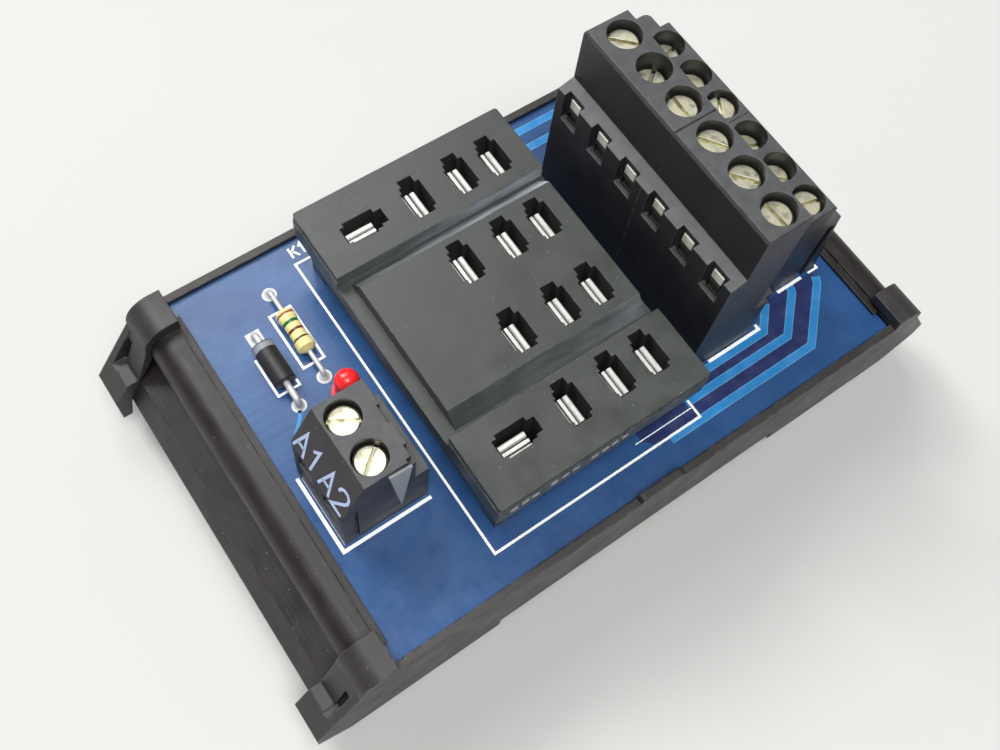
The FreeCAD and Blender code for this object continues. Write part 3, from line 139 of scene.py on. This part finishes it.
class Paint:
    """A material whose nodes are added and joined step by step."""

    def __init__(self, name, colour, roughness, metallic=0.0):
        self.material = bpy.data.materials.new(name)
        self.material.use_nodes = True
        self.tree = self.material.node_tree
        self.shader = self.tree.nodes["Principled BSDF"]
        self.set("Base Color", (*colour, 1))
        self.set("Roughness", roughness)
        self.set("Metallic", metallic)
        self.spot = self.node("ShaderNodeTexCoord").outputs["Object"]

    def set(self, socket, value):
        self.join(value, self.shader.inputs[socket])

    def join(self, value, socket):
        if isinstance(value, bpy.types.NodeSocket):
            self.tree.links.new(value, socket)
        else:
            socket.default_value = value

    def node(self, kind, inputs=(), **settings):
        made = self.tree.nodes.new(kind)
        for word, value in settings.items():
            setattr(made, word, value)
        for socket, value in dict(inputs).items():
            self.join(value, made.inputs[socket])
        return made

    def facing(self, axis):
        """How far the surface faces along an axis, from -1 to 1."""
        normal = self.node("ShaderNodeNewGeometry").outputs["Normal"]
        return self.node("ShaderNodeSeparateXYZ", {"Vector": normal}).outputs[axis]

    def place(self, axis):
        """The place along an axis, in metres."""
        return self.node("ShaderNodeSeparateXYZ", {"Vector": self.spot}).outputs[axis]

    def noise(self, size_mm, detail=3.0, stretch=(1, 1, 1)):
        """Cloudy noise whose lumps are about size_mm across."""
        scale = 1 / (size_mm * MM)
        spot = self.spot
        if stretch != (1, 1, 1):
            spot = self.node("ShaderNodeMapping", {"Vector": spot, "Scale": stretch}).outputs[0]
        made = self.node("ShaderNodeTexNoise", {"Vector": spot, "Scale": scale, "Detail": detail})
        return made.outputs["Fac"]

    def spread(self, value, low, high, to_low=0.0, to_high=1.0):
        """A value mapped from one range to another, and kept inside it."""
        made = self.node("ShaderNodeMapRange", {
            "Value": value, "From Min": low, "From Max": high,
            "To Min": to_low, "To Max": to_high})
        return made.outputs["Result"]

    def blend(self, share, first, second):
        """A mix of two colours, each three numbers or a node's output."""
        made = self.node("ShaderNodeMix", data_type="RGBA")
        factor, colour_a, colour_b = made.inputs[0], made.inputs[6], made.inputs[7]
        self.join(share, factor)
        for colour, socket in ((first, colour_a), (second, colour_b)):
            self.join(colour if isinstance(colour, bpy.types.NodeSocket) else (*colour, 1), socket)
        return made.outputs[2]

    def maths(self, operation, first, second=0.0):
        made = self.node("ShaderNodeMath", operation=operation)
        self.join(first, made.inputs[0])
        self.join(second, made.inputs[1])
        return made.outputs[0]

    def edges(self, radius_mm):
        """How far the surface is near an outside or inside edge, and its rounded normal."""
        rounded = self.node("ShaderNodeBevel", {"Radius": radius_mm * MM}, samples=4).outputs[0]
        flat = self.node("ShaderNodeNewGeometry").outputs["Normal"]
        along = self.node("ShaderNodeVectorMath", operation="DOT_PRODUCT")
        self.join(rounded, along.inputs[0])
        self.join(flat, along.inputs[1])
        return self.spread(along.outputs["Value"], 0.995, 0.85), rounded

    def bump(self, height, deep_mm, normal=None):
        made = self.node("ShaderNodeBump", {"Height": height, "Distance": deep_mm * MM})
        if normal is not None:
            self.join(normal, made.inputs["Normal"])
        return made.outputs["Normal"]


# Pale colour for rubbed edges and drawn streaks: partly real wear, partly painted highlight and
# sheen.
WORN_AND_HIGHLIGHT = (0.20, 0.20, 0.19)
EDGE_WEAR_AND_HIGHLIGHT_SHARE = 0.55
STREAK_WEAR_AND_SHEEN_SHARE = 0.07
SPECK = (0.40, 0.41, 0.39)
SPECK_SHARE = 0.25
# Pale film on upward faces: partly dust, partly a painted sheen on top faces.
DUSTY_SHEEN = (0.45, 0.46, 0.46)
# Pale colour of a painted glint; on the socket's groove walls it also stands for scuffing.
PALE_GLINT = (0.50, 0.55, 0.59)


def plastic(name, colour, roughness=0.5, edge_mm=0.18, streaks=None, pale_glint=None, dust=0.0):
    """Moulded plastic: mottled sheen, fine grain, pale edges that are partly rubbed wear and
    partly painted highlight, and a few dust specks.

    pale_glint gives the share of PALE_GLINT, a painted glint, at a place, and dust is the share of
    DUSTY_SHEEN on level faces, partly dust and partly painted sheen on the tops.
    """
    paint = Paint(name, colour, roughness)
    mottle = paint.noise(3.5, 4.0)
    edge, rounded = paint.edges(edge_mm)
    # Edges are painted pale: partly wear, partly a painted highlight where light catches them.
    edge_wear_and_highlight = paint.maths("MULTIPLY", edge, paint.spread(paint.noise(1.1, 5.0), 0.42, 0.62))
    specks = paint.spread(paint.noise(0.3, 1.0), 0.755, 0.78)
    shade = paint.spread(mottle, 0.35, 0.65, 0.0, 0.35)
    base = paint.blend(shade, colour, [min(1.0, c * 1.5) for c in colour])
    if streaks:
        # Pale streaks along the extrusion: partly die lines, partly painted sheen streaks.
        drawn = paint.noise(0.22, 3.0, stretch=streaks)
        base = paint.blend(paint.spread(drawn, 0.5, 0.75, 0.0, STREAK_WEAR_AND_SHEEN_SHARE), base, WORN_AND_HIGHLIGHT)
    # Where pale_glint says, the plastic is painted paler as a painted glint.
    if pale_glint:
        base = paint.blend(pale_glint(paint), base, PALE_GLINT)
    if dust:
        # Upward faces are painted paler: partly dust, partly painted sheen where the tops catch
        # light.
        dust_and_sheen_film = paint.spread(paint.noise(1.4, 5.0), 0.3, 0.7, 0.7 * dust, 1.2 * dust)
        level = paint.spread(paint.facing("Z"), 0.6, 0.95)
        base = paint.blend(paint.maths("MULTIPLY", level, dust_and_sheen_film), base, DUSTY_SHEEN)
    base = paint.blend(paint.maths("MULTIPLY", edge_wear_and_highlight, EDGE_WEAR_AND_HIGHLIGHT_SHARE), base, WORN_AND_HIGHLIGHT)
    base = paint.blend(paint.maths("MULTIPLY", specks, SPECK_SHARE), base, SPECK)
    paint.set("Base Color", base)
    paint.set("Roughness", paint.spread(mottle, 0.3, 0.7, roughness - 0.07, roughness + 0.08))
    paint.set("Normal", paint.bump(paint.noise(0.12, 2.0), 0.006, rounded))
    return paint.material


# first y, last y and strength of each groove's pale band, partly scuffing and partly painted glint
SCUFF_AND_GLINT_BANDS = ((9.4, 12.3, 1.0), (-10.6, -6.5, 0.3))
SCUFF_AND_GLINT_FADE = 0.2


def groove_scuff_and_glint(paint):
    """Where the walls of the socket's two grooves are painted pale, partly as scuffing and partly
    as a painted glint, more so towards +X.
    """
    slope = paint.spread(paint.maths("ABSOLUTE", paint.facing("Y")), 0.3, 0.6)
    depth = paint.place("Y")
    band = 0.0
    for first, last, strength in SCUFF_AND_GLINT_BANDS:
        inside = paint.maths(
            "MULTIPLY", paint.spread(depth, first * MM, (first + SCUFF_AND_GLINT_FADE) * MM),
            paint.spread(depth, last * MM, (last - SCUFF_AND_GLINT_FADE) * MM, 0.0, strength))
        band = paint.maths("MAXIMUM", band, inside)
    along = paint.spread(paint.place("X"), socket_low.x * MM, socket_high.x * MM, 0.15, 1.0)
    smear = paint.spread(paint.noise(1.8, 5.0, stretch=(0.25, 1, 1)), 0.35, 0.65, 0.3, 0.95)
    return paint.maths("MULTIPLY", paint.maths("MULTIPLY", slope, band),
                       paint.maths("MULTIPLY", along, smear))


# Painted glint on the coil terminal's front tab.
TAB_GLINT_EDGE = 0.3
TAB_GLINT_FADE = 0.1
TAB_GLINT_SHARE = 0.6


def tab_glint(paint):
    """The tapered tab on the coil terminal's front end, painted paler than its block as a painted
    glint.
    """
    start = control_low.y + TAB_GLINT_EDGE
    return paint.spread(paint.place("Y"), start * MM, (start - TAB_GLINT_FADE) * MM,
                        0.0, TAB_GLINT_SHARE)


# Painted shade: the upper tabs are painted dark below TAB_SHADE_TOP, where their notches shade
# them.
PAINTED_SHADE = (0.05, 0.045, 0.04)
SHADE_FADE = 0.1
TAB_SHADE_TOP = BOARD_TOP + 19.6


def metal(name, colour, stain, roughness=0.28, grain=(1, 1, 1), metallic=1.0, shade_below=None):
    """Plated metal: tool grain, dull patches and a softened edge.

    Below the height shade_below, in millimetres, the metal is painted dark as shade.
    """
    paint = Paint(name, colour, roughness, metallic)
    patches = paint.noise(0.9, 5.0)
    rounded = paint.edges(0.08)[1]
    base = paint.blend(paint.spread(patches, 0.45, 0.7, 0.0, 0.8), colour, stain)
    # Painted shade: below shade_below the colour goes dark.
    if shade_below:
        unshaded = paint.spread(paint.place("Z"), (shade_below - SHADE_FADE) * MM,
                              (shade_below + SHADE_FADE) * MM)
        base = paint.blend(unshaded, PAINTED_SHADE, base)
    paint.set("Base Color", base)
    paint.set("Roughness", paint.spread(patches, 0.3, 0.7, roughness - 0.08, roughness + 0.22))
    paint.set("Normal", paint.bump(paint.noise(0.15, 3.0, stretch=grain), 0.012, rounded))
    return paint.material


WEAVE_SCALE = 260.0


def board_paint():
    """Blue solder mask over glass cloth, bare laminate on the cut edges."""
    mask = (0.013, 0.058, 0.175)
    paint = Paint("blue_board", mask, 0.3)
    level = paint.spread(paint.maths("ABSOLUTE", paint.facing("Z")), 0.4, 0.6)
    cloud = paint.noise(6.0, 4.0)
    colour = paint.blend(paint.spread(cloud, 0.35, 0.7), mask, (0.020, 0.082, 0.225))
    dust = paint.spread(paint.noise(0.4, 2.0), 0.73, 0.77)
    colour = paint.blend(paint.maths("MULTIPLY", dust, 0.25), colour, (0.30, 0.38, 0.50))
    paint.set("Base Color", paint.blend(level, (0.36, 0.33, 0.14), colour))
    paint.set("Roughness", paint.spread(paint.noise(2.0, 5.0), 0.3, 0.7, 0.26, 0.34))
    weave_x = paint.node("ShaderNodeTexWave", {"Vector": paint.spot, "Scale": WEAVE_SCALE})
    weave_y = paint.node("ShaderNodeTexWave", {"Vector": paint.spot, "Scale": WEAVE_SCALE},
                         bands_direction="Y")
    weave = paint.maths("ADD", weave_x.outputs["Fac"], weave_y.outputs["Fac"])
    paint.set("Normal", paint.bump(weave, 0.003))
    return paint.material


def track_paint(name, colour, pale):
    """A thin flat layer, such as copper under solder mask, with a few rubbed spots."""
    paint = Paint(name, colour, 0.3)
    cloud = paint.noise(1.6, 4.0)
    paint.set("Base Color", paint.blend(paint.spread(cloud, 0.4, 0.75), colour, pale))
    paint.set("Roughness", paint.spread(cloud, 0.3, 0.7, 0.24, 0.4))
    paint.set("Normal", paint.bump(paint.noise(0.3, 2.0), 0.004, paint.edges(0.04)[1]))
    return paint.material


def print_paint():
    """Screen-printed ink, slightly uneven and thin in places."""
    paint = Paint("white_print", (0.90, 0.92, 0.92), 0.55)
    uneven = paint.noise(0.35, 4.0)
    paint.set("Base Color", paint.blend(paint.spread(uneven, 0.55, 0.8, 0.0, 0.3),
                                        (0.96, 0.98, 0.98), (0.70, 0.76, 0.82)))
    paint.set("Normal", paint.bump(uneven, 0.006))
    return paint.material


RING_WOBBLE = 0.012
RING_FADE = 0.006


def ring_paint(name, node, colour, rings, roughness=0.3):
    """A lacquered body with colour rings across Y.

    Each ring is (middle, width, colour), in shares of the body's length from its rear end.
    """
    low, high = box_mm(node)
    paint = Paint(name, colour, roughness)
    share = paint.spread(paint.place("Y"), high.y * MM, low.y * MM)
    wobble = paint.maths("MULTIPLY", paint.spread(paint.noise(0.8, 2.0), 0, 1, -1, 1), RING_WOBBLE)
    share = paint.maths("ADD", share, wobble)
    cloud = paint.noise(0.7, 3.0)
    base = paint.blend(paint.spread(cloud, 0.35, 0.7), colour, [c * 0.8 for c in colour])
    for middle, width, ring in rings:
        away = paint.maths("ABSOLUTE", paint.maths("SUBTRACT", share, middle))
        inside = paint.spread(away, width / 2 + RING_FADE, width / 2 - RING_FADE)
        base = paint.blend(inside, base, ring)
    paint.set("Base Color", base)
    paint.set("Roughness", paint.spread(cloud, 0.3, 0.7, roughness - 0.08, roughness + 0.1))
    paint.set("Normal", paint.bump(cloud, 0.01, paint.edges(0.1)[1]))
    return paint.material


def lamp_paint():
    """Diffused red lamp plastic."""
    paint = Paint("red_lamp", (0.80, 0.035, 0.03), 0.16)
    cloud = paint.noise(0.9, 2.0)
    paint.set("Base Color", paint.blend(cloud, (0.85, 0.03, 0.025), (0.70, 0.02, 0.03)))
    paint.set("Roughness", paint.spread(cloud, 0.3, 0.7, 0.12, 0.24))
    paint.set("Subsurface Weight", 0.5)
    paint.set("Subsurface Radius", (1.0, 0.12, 0.1))
    paint.set("Subsurface Scale", 0.8 * MM)
    paint.set("Normal", paint.bump(cloud, 0.004))
    return paint.material


FLOOR_HALF = 3000.0
FLOOR_GAP = 0.02


def floor_paint():
    """Plain pale card, very slightly cloudy."""
    paint = Paint("pale_floor", (0.52, 0.515, 0.50), 0.75)
    cloud = paint.noise(90.0, 3.0)
    paint.set("Base Color", paint.blend(cloud, (0.54, 0.535, 0.52), (0.50, 0.495, 0.48)))
    return paint.material


def add_floor(paint):
    """A wide square just under the object's lowest face."""
    mesh = bpy.data.meshes.new("floor")
    far = FLOOR_HALF * MM
    mesh.from_pydata([(-far, -far, 0), (far, -far, 0), (far, far, 0), (-far, far, 0)],
                     [], [(0, 1, 2, 3)])
    mesh.materials.append(paint)
    floor = bpy.data.objects.new("floor", mesh)
    floor.location.z = cad_box[0][2] - FLOOR_GAP * MM
    bpy.context.collection.objects.link(floor)


# --- mesh pieces ---------------------------------------------------------------------

def piece(name, mesh, paint, body=ROOT):
    """A finished mesh becomes a piece that rides on a body."""
    made = bpy.data.meshes.new(name)
    bmesh.ops.recalc_face_normals(mesh, faces=mesh.faces)
    mesh.to_mesh(made)
    mesh.free()
    made.materials.append(paint)
    thing = bpy.data.objects.new(name, made)
    bpy.context.collection.objects.link(thing)
    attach(thing, body)
    return thing


def offset_path(points, side, closed):
    """The points of a flat path moved sideways, with mitred corners."""
    moved = []
    count = len(points)
    for i, here in enumerate(points):
        before = points[i - 1] if closed or i > 0 else None
        after = points[(i + 1) % count] if closed or i < count - 1 else None
        ways = [(here - before).normalized()] if before is not None else []
        if after is not None:
            ways.append((after - here).normalized())
        normals = [Vector((-way.y, way.x)) for way in ways]
        middle = sum(normals, Vector((0, 0))).normalized()
        moved.append(here + middle * (side / middle.dot(normals[0])))
    return moved


def ribbon(mesh, path, width, low, high, closed=False, put=mm):
    """A flat strip along a path. put turns (across, up, out) into a place in space."""
    points = [Vector(point) for point in path]
    left = offset_path(points, width / 2, closed)
    right = offset_path(points, -width / 2, closed)
    rings = []
    for a, b in zip(left, right):
        rings.append([mesh.verts.new(put(a.x, a.y, low)), mesh.verts.new(put(a.x, a.y, high)),
                      mesh.verts.new(put(b.x, b.y, high)), mesh.verts.new(put(b.x, b.y, low))])
    count = len(rings)
    for i in range(count if closed else count - 1):
        here, there = rings[i], rings[(i + 1) % count]
        for k in range(4):
            mesh.faces.new((here[k], here[(k + 1) % 4], there[(k + 1) % 4], there[k]))
    if not closed:
        mesh.faces.new(rings[0])
        mesh.faces.new(list(reversed(rings[-1])))


def slab(mesh, outline, low, high):
    """A flat plate with the given outline."""
    lower = [mesh.verts.new(mm(x, y, low)) for x, y in outline]
    upper = [mesh.verts.new(mm(x, y, high)) for x, y in outline]
    mesh.faces.new(upper)
    mesh.faces.new(list(reversed(lower)))
    for i in range(len(outline)):
        k = (i + 1) % len(outline)
        mesh.faces.new((lower[i], lower[k], upper[k], upper[i]))


def turned(mesh, centre, outline, steps=28):
    """A ring or dome: (radius, height) pairs turned about a vertical axis."""
    rings = []
    for radius, height in outline:
        ring = []
        for step in range(steps):
            angle = 2 * math.pi * step / steps
            ring.append(mesh.verts.new(mm(centre[0] + radius * math.cos(angle),
                                          centre[1] + radius * math.sin(angle), height)))
        rings.append(ring)
    for inner, outer in zip(rings, rings[1:]):
        for i in range(steps):
            k = (i + 1) % steps
            mesh.faces.new((inner[i], inner[k], outer[k], outer[i]))
    return rings


# --- what is printed and plated on the board -------------------------------------------

INK_HIGH = BOARD_TOP + 0.05
COPPER_HIGH = BOARD_TOP + 0.035
HIGHLIGHT_RIM_HIGH = BOARD_TOP + 0.042
CLEAR_HIGH = BOARD_TOP + 0.012
LINE = 0.3
HEAVY_LINE = 0.42
FINE_LINE = 0.12
COIL_INNER_LINE = 0.16
TRACK = 1.1
THIN_TRACK = 0.45
TRACK_HIGHLIGHT_RIM = 0.13

TRACKS = {
    "track_outer": [(33.4, -14.6), (33.0, -15.4), (26.5, -21.6), (9.0, -21.6), (4.0, -21.6)],
    "track_inner": [(29.7, -13.6), (29.4, -14.6), (24.8, -19.0), (13.0, -19.0), (8.4, -19.0)],
    "track_short": [(25.4, -14.0), (22.6, -16.9), (13.2, -16.9)],
    "track_rear_outer": [(13.2, 23.3), (20.5, 23.3), (21.4, 22.4)],
    "track_rear_inner": [(13.0, 20.6), (17.4, 20.6), (19.0, 19.0)],
}
DIODE_TRACK = [(-29.9, 5.5), (-30.6, 4.2), (-32.3, 2.4), (-32.3, 0.0)]


def add_track(name, path, width, paint):
    mesh = bmesh.new()
    ribbon(mesh, path, width, BOARD_TOP, COPPER_HIGH)
    piece(name, mesh, paint)


def add_tracks(paint, highlight_rim_paint):
    """Wide tracks whose edges carry a painted highlight, and the thin one from the diode to the
    coil terminal.
    """
    for name, path in TRACKS.items():
        add_track(name, path, TRACK, paint)
        # Paler strips along both edges of each track: a painted highlight.
        mesh = bmesh.new()
        points = [Vector(point) for point in path]
        for side in (-0.5, 0.5):
            highlight_rim = offset_path(points, (TRACK - TRACK_HIGHLIGHT_RIM) * side, closed=False)
            ribbon(mesh, highlight_rim, TRACK_HIGHLIGHT_RIM, BOARD_TOP, HIGHLIGHT_RIM_HIGH)
        piece(f"{name}_highlight_rims", mesh, highlight_rim_paint)
    add_track("track_diode", DIODE_TRACK, THIN_TRACK, paint)


def add_clear_band(paint):
    """The strip of board with no copper between and beside the outer tracks."""
    outline = [(33.0, -15.4), (26.5, -21.6), (8.8, -21.6), (8.8, -21.2), (2.2, -21.2),
               (1.0, -20.0), (1.0, -16.2), (22.6, -16.2), (25.4, -13.8), (33.4, -13.8)]
    mesh = bmesh.new()
    slab(mesh, outline, BOARD_TOP, CLEAR_HIGH)
    piece("clear_band", mesh, paint)


def add_outlines(paint):
    """White component outlines around the socket, the terminals and the small parts."""
    runs = {
        "socket_outline": [(-18.66, 21.7), (-20.9, 21.7), (-20.9, -21.25), (8.8, -21.25),
                           (8.8, -18.8)],
        "terminal_outline": [(14.2, -16.3), (22.3, -16.3), (22.3, -15.6)],
        "lower_outline": [(27.7, -13.7), (31.7, -13.7)],
        "lower_outline_end": [(32.9, -13.7), (34.4, -13.7), (34.4, -13.2)],
        "coil_outline": [(-34.6, -1.9), (-34.6, -11.9), (-23.2, -11.9)],
        "diode_outline": [(-31.3, 13.2), (-31.3, 7.8), (-28.5, 7.8), (-28.5, 8.6)],
    }
    for name, path in runs.items():
        mesh = bmesh.new()
        heavy = name in ("coil_outline", "terminal_outline", "lower_outline")
        ribbon(mesh, path, HEAVY_LINE if heavy else LINE, BOARD_TOP, INK_HIGH)
        piece(name, mesh, paint)
    mesh = bmesh.new()
    ribbon(mesh, [(0.1, -19.8), (8.7, -19.8)], FINE_LINE, BOARD_TOP, INK_HIGH)
    ribbon(mesh, [(-34.05, -2.2), (-34.05, -11.3)], COIL_INNER_LINE, BOARD_TOP, INK_HIGH)
    piece("fine_lines", mesh, paint)
    mesh = bmesh.new()
    frame_path = [(-27.1, 9.3), (-24.3, 9.3), (-24.3, 17.2), (-27.1, 17.2)]
    ribbon(mesh, frame_path, LINE, BOARD_TOP, INK_HIGH, closed=True)
    piece("resistor_outline", mesh, paint)


STROKES = {
    "A": [[(0.0, 0.0), (0.31, 1.0), (0.62, 0.0)], [(0.11, 0.34), (0.51, 0.34)]],
    "K": [[(0.0, 0.0), (0.0, 1.0)], [(0.6, 1.0), (0.05, 0.45)], [(0.2, 0.6), (0.62, 0.0)]],
    "1": [[(0.05, 0.74), (0.3, 1.0), (0.3, 0.0)]],
    "2": [[(0.02, 0.74), (0.06, 0.9), (0.2, 1.0), (0.4, 1.0), (0.54, 0.9), (0.58, 0.74),
           (0.5, 0.56), (0.02, 0.0), (0.62, 0.0)]],
}
GLYPH_STEP = 0.80


def write_word(mesh, word, tall, stroke, put, low, high):
    """Plain stroked figures, written along put's first axis."""
    for number, letter in enumerate(word):
        for line in STROKES[letter]:
            path = [((x + GLYPH_STEP * number) * tall, y * tall) for x, y in line]
            ribbon(mesh, path, stroke, low, high, put=put)


MARK_FOOT = Vector((-20.6, 22.6))
MARK_TALL = 1.5
MARK_STROKE = 0.28


def add_designator(paint):
    """The socket's short mark beside its outline, read from the front."""
    def put(x, y, z):
        return mm(MARK_FOOT.x + x, MARK_FOOT.y + y, z)

    mesh = bmesh.new()
    write_word(mesh, "K1", MARK_TALL, MARK_STROKE, put, BOARD_TOP, INK_HIGH)
    piece("socket_mark", mesh, paint)


SLOPE_TOP = Vector((-31.2, 33.25))
SLOPE_FOOT = Vector((-34.0, 27.9))
LABEL_TALL = 3.1
LABEL_STROKE = 0.36
LABEL_LOW = 0.05
LABEL_PROUD = 0.03
LABEL_STARTS = {"A1": -1.55, "A2": -6.55}


def add_labels(paint):
    """The coil terminals' marks on the sloped face of their block, written towards the front."""
    along = (SLOPE_TOP - SLOPE_FOOT).normalized()
    out = Vector((-along.y, along.x))
    for word, start in LABEL_STARTS.items():
        def put(x, y, z, start=start):
            spot = SLOPE_FOOT + along * (LABEL_LOW + y) + out * z
            return mm(spot.x, start - x, spot.y)

        mesh = bmesh.new()
        write_word(mesh, word, LABEL_TALL, LABEL_STROKE, put, 0.0, LABEL_PROUD)
        piece(f"label_{word}", mesh, paint)


def lead_places(node):
    """Where a part's leads go into the board, rear one first."""
    low, high = box_mm(node)
    middle = (low.x + high.x) / 2
    half = (high.x - low.x) / 2
    return [Vector((middle, high.y - half)), Vector((middle, low.y + half))]


PAD_HALF = 0.92
# radius and height above the pad, from the solder's foot up the lead
SOLDER_SLOPE = [(0.66, 0.0), (0.58, 0.05), (0.46, 0.12), (0.36, 0.3)]


def add_pad(name, spot, square, paint):
    mesh = bmesh.new()
    if square:
        left, right = spot.x - PAD_HALF, spot.x + PAD_HALF
        front, rear = spot.y - PAD_HALF, spot.y + PAD_HALF
        outline = [(left, front), (right, front), (right, rear), (left, rear)]
        slab(mesh, outline, BOARD_TOP, COPPER_HIGH)
    else:
        rings = turned(mesh, spot, [(PAD_HALF, BOARD_TOP), (PAD_HALF, COPPER_HIGH)])
        mesh.faces.new(rings[-1])
    piece(name, mesh, paint)


def add_solder(name, spot, paint):
    mesh = bmesh.new()
    rings = turned(mesh, spot, [(radius, COPPER_HIGH + up) for radius, up in SOLDER_SLOPE])
    mesh.faces.new(rings[-1])
    cone = piece(name, mesh, paint)
    for face in cone.data.polygons:
        face.use_smooth = True


def add_pads_and_solder(paint):
    """Tinned pads around the leads, and the solder that climbs each lead.

    The pad at the diode's marked end is square.
    """
    for part in ("resistor", "diode"):
        for number, spot in enumerate(lead_places(f"{part}_leads"), start=1):
            square = part == "diode" and number == 1
            add_pad(f"{part}_pad_{number}", spot, square, paint)
            add_solder(f"{part}_solder_{number}", spot, paint)


# --- marks on the mouldings ------------------------------------------------------------

# node: middle, outer radius, height and material slot of the ring
MOULD_RINGS = {
    "socket_body": ((-14.0, 19.0), 1.62, socket_high.z, "socket_plastic"),
    "control_block": ((-30.63, -6.13), 0.5, control_high.z, "terminal_plastic"),
}
# how far inside the outer radius, and how high, each corner of the ring's section is
RING_SECTION = [(0.0, 0.0), (0.04, 0.02), (0.12, 0.02), (0.16, 0.0)]
RING_STEPS = 40


def add_mould_rings(paints):
    """The faint rings that the mould's pin and gate leave in the socket's and block's tops."""
    for node, (centre, radius, top, slot) in MOULD_RINGS.items():
        mesh = bmesh.new()
        section = [(radius - inwards, top + up) for inwards, up in RING_SECTION]
        turned(mesh, centre, section, RING_STEPS)
        piece(f"{node}_mould_ring", mesh, paints[node])


GRIP_MARKS = (-18.7, -17.2, -15.9, -13.5, -12.0, -10.6, -8.1, -6.7, -5.4, -4.0)
GRIP_MARK_LONG = 0.9
GRIP_MARK_LOW = 9.6
GRIP_MARK_TALL = 0.7
GRIP_MARK_PROUD = 0.04


def add_grip_marks(paint):
    """A row of small raised dashes along the top of the socket's front wall, painted pale as a
    painted highlight.
    """
    mesh = bmesh.new()
    front = socket_low.y
    low = BOARD_TOP + GRIP_MARK_LOW
    high = low + GRIP_MARK_TALL
    for middle in GRIP_MARKS:
        left, right = middle - GRIP_MARK_LONG / 2, middle + GRIP_MARK_LONG / 2
        outline = [(left, low), (right, low), (right, high), (left, high)]
        near = [mesh.verts.new(mm(x, front - GRIP_MARK_PROUD, z)) for x, z in outline]
        far = [mesh.verts.new(mm(x, front, z)) for x, z in outline]
        mesh.faces.new(near)
        for i in range(4):
            k = (i + 1) % 4
            mesh.faces.new((near[i], near[k], far[k], far[i]))
    piece("socket_grip_marks", mesh, paint)


# --- paint for the CAD nodes -------------------------------------------------------------

def cover(node, paint):
    """Gives a CAD node one material."""
    mesh_slots = nodes[node].material_slots
    if not mesh_slots:
        nodes[node].data.materials.append(paint)
    for mesh_slot in mesh_slots:
        mesh_slot.material = paint


def cover_nodes(paints):
    """Each node takes the first paint whose key its name starts with."""
    for node in nodes:
        for start, paint in paints.items():
            if node.startswith(start):
                cover(node, paint)
                break
        else:
            raise LookupError(f"no paint for {node}")


def make_paints():
    """The paint of every CAD node, by the start of its name, and the pads' paint."""
    socket = plastic("socket_plastic", (0.034, 0.038, 0.034), 0.38, pale_glint=groove_scuff_and_glint)
    black = (0.012, 0.012, 0.014)
    terminal = plastic("terminal_plastic", black, 0.45, dust=0.11)
    control = plastic("control_plastic", black, 0.45, pale_glint=tab_glint, dust=0.09)
    screw = metal("screw_plating", (0.76, 0.75, 0.57), (0.44, 0.39, 0.26), 0.36)
    tin = metal("tinned_metal", (0.60, 0.61, 0.58), (0.42, 0.42, 0.39), 0.36, (1, 1, 0.2), 0.5)
    clamp = metal("clamp_plating", (0.78, 0.77, 0.72), (0.50, 0.47, 0.40), 0.5, metallic=0.45)
    tab = metal("tab_plating", (0.80, 0.80, 0.70), (0.62, 0.60, 0.50), 0.5, metallic=0.2,
                shade_below=TAB_SHADE_TOP)
    pad = metal("pad_tinning", (0.58, 0.60, 0.60), (0.42, 0.43, 0.43), 0.5, metallic=0.3)
    lead = metal("lead_tinning", (0.62, 0.63, 0.62), (0.46, 0.46, 0.45), 0.42, (1, 1, 0.2), 0.35)
    carrier = plastic("carrier_plastic", (0.009, 0.0065, 0.0055), 0.46, streaks=(1, 0.03, 1))
    cap = plastic("cap_plastic", (0.022, 0.0195, 0.018), 0.48, edge_mm=0.3)
    foot = plastic("foot_plastic", (0.018, 0.018, 0.018), 0.5)
    spring = metal("spring_steel", (0.55, 0.55, 0.54), (0.30, 0.29, 0.28), 0.3)
    red, green = (0.30, 0.08, 0.05), (0.01, 0.12, 0.03)
    brown, gold = (0.13, 0.03, 0.012), (0.07, 0.035, 0.012)
    resistor = ring_paint("resistor_lacquer", "resistor_body", (0.80, 0.70, 0.30), [
        (0.15, 0.05, red), (0.34, 0.07, green), (0.53, 0.06, brown), (0.74, 0.05, gold)])
    diode = ring_paint("diode_moulding", "diode_body", (0.018, 0.018, 0.019),
                       [(0.10, 0.14, (0.22, 0.24, 0.27))], roughness=0.46)
    return {
        "base_profile": carrier, "end_plate": cap, "rail_foot": foot, "rail_latch": foot,
        "latch_spring": spring, "circuit_board": board_paint(), "socket_body": socket,
        "socket_contacts": tin, "coil_contacts": tin, "terminal_block": terminal,
        "control_block": control, "upper_clamps": tab, "lower_clamps": clamp,
        "control_clamps": clamp, "upper_screw": screw, "lower_screw": screw,
        "control_screw": screw, "upper_plate": clamp, "lower_plate": clamp,
        "control_plate": clamp, "resistor_body": resistor, "resistor_leads": lead,
        "diode_body": diode, "diode_leads": lead, "lamp_lens": lamp_paint(),
        "lamp_leads": lead,
    }, pad


add_camera()
add_lights()
add_floor(floor_paint())
paints, pad_tin = make_paints()
cover_nodes(paints)
copper = track_paint("masked_copper", (0.020, 0.205, 0.50), (0.032, 0.24, 0.56))
# Painted highlight along the tracks' edges.
highlight_rim = track_paint("masked_copper_highlight_rim", (0.08, 0.28, 0.55), (0.12, 0.34, 0.60))
clear = track_paint("masked_laminate", (0.014, 0.024, 0.10), (0.022, 0.034, 0.13))
add_clear_band(clear)
add_tracks(copper, highlight_rim)
ink = print_paint()
add_outlines(ink)
add_designator(ink)
label_ink = track_paint("label_ink", (0.32, 0.40, 0.62), (0.45, 0.52, 0.72))
add_labels(label_ink)
add_pads_and_solder(pad_tin)
add_mould_rings(paints)
# Pale grey on the raised dashes: a painted highlight where their relief catches light.
add_grip_marks(track_paint("grip_mark", (0.36, 0.37, 0.39), (0.50, 0.51, 0.53)))
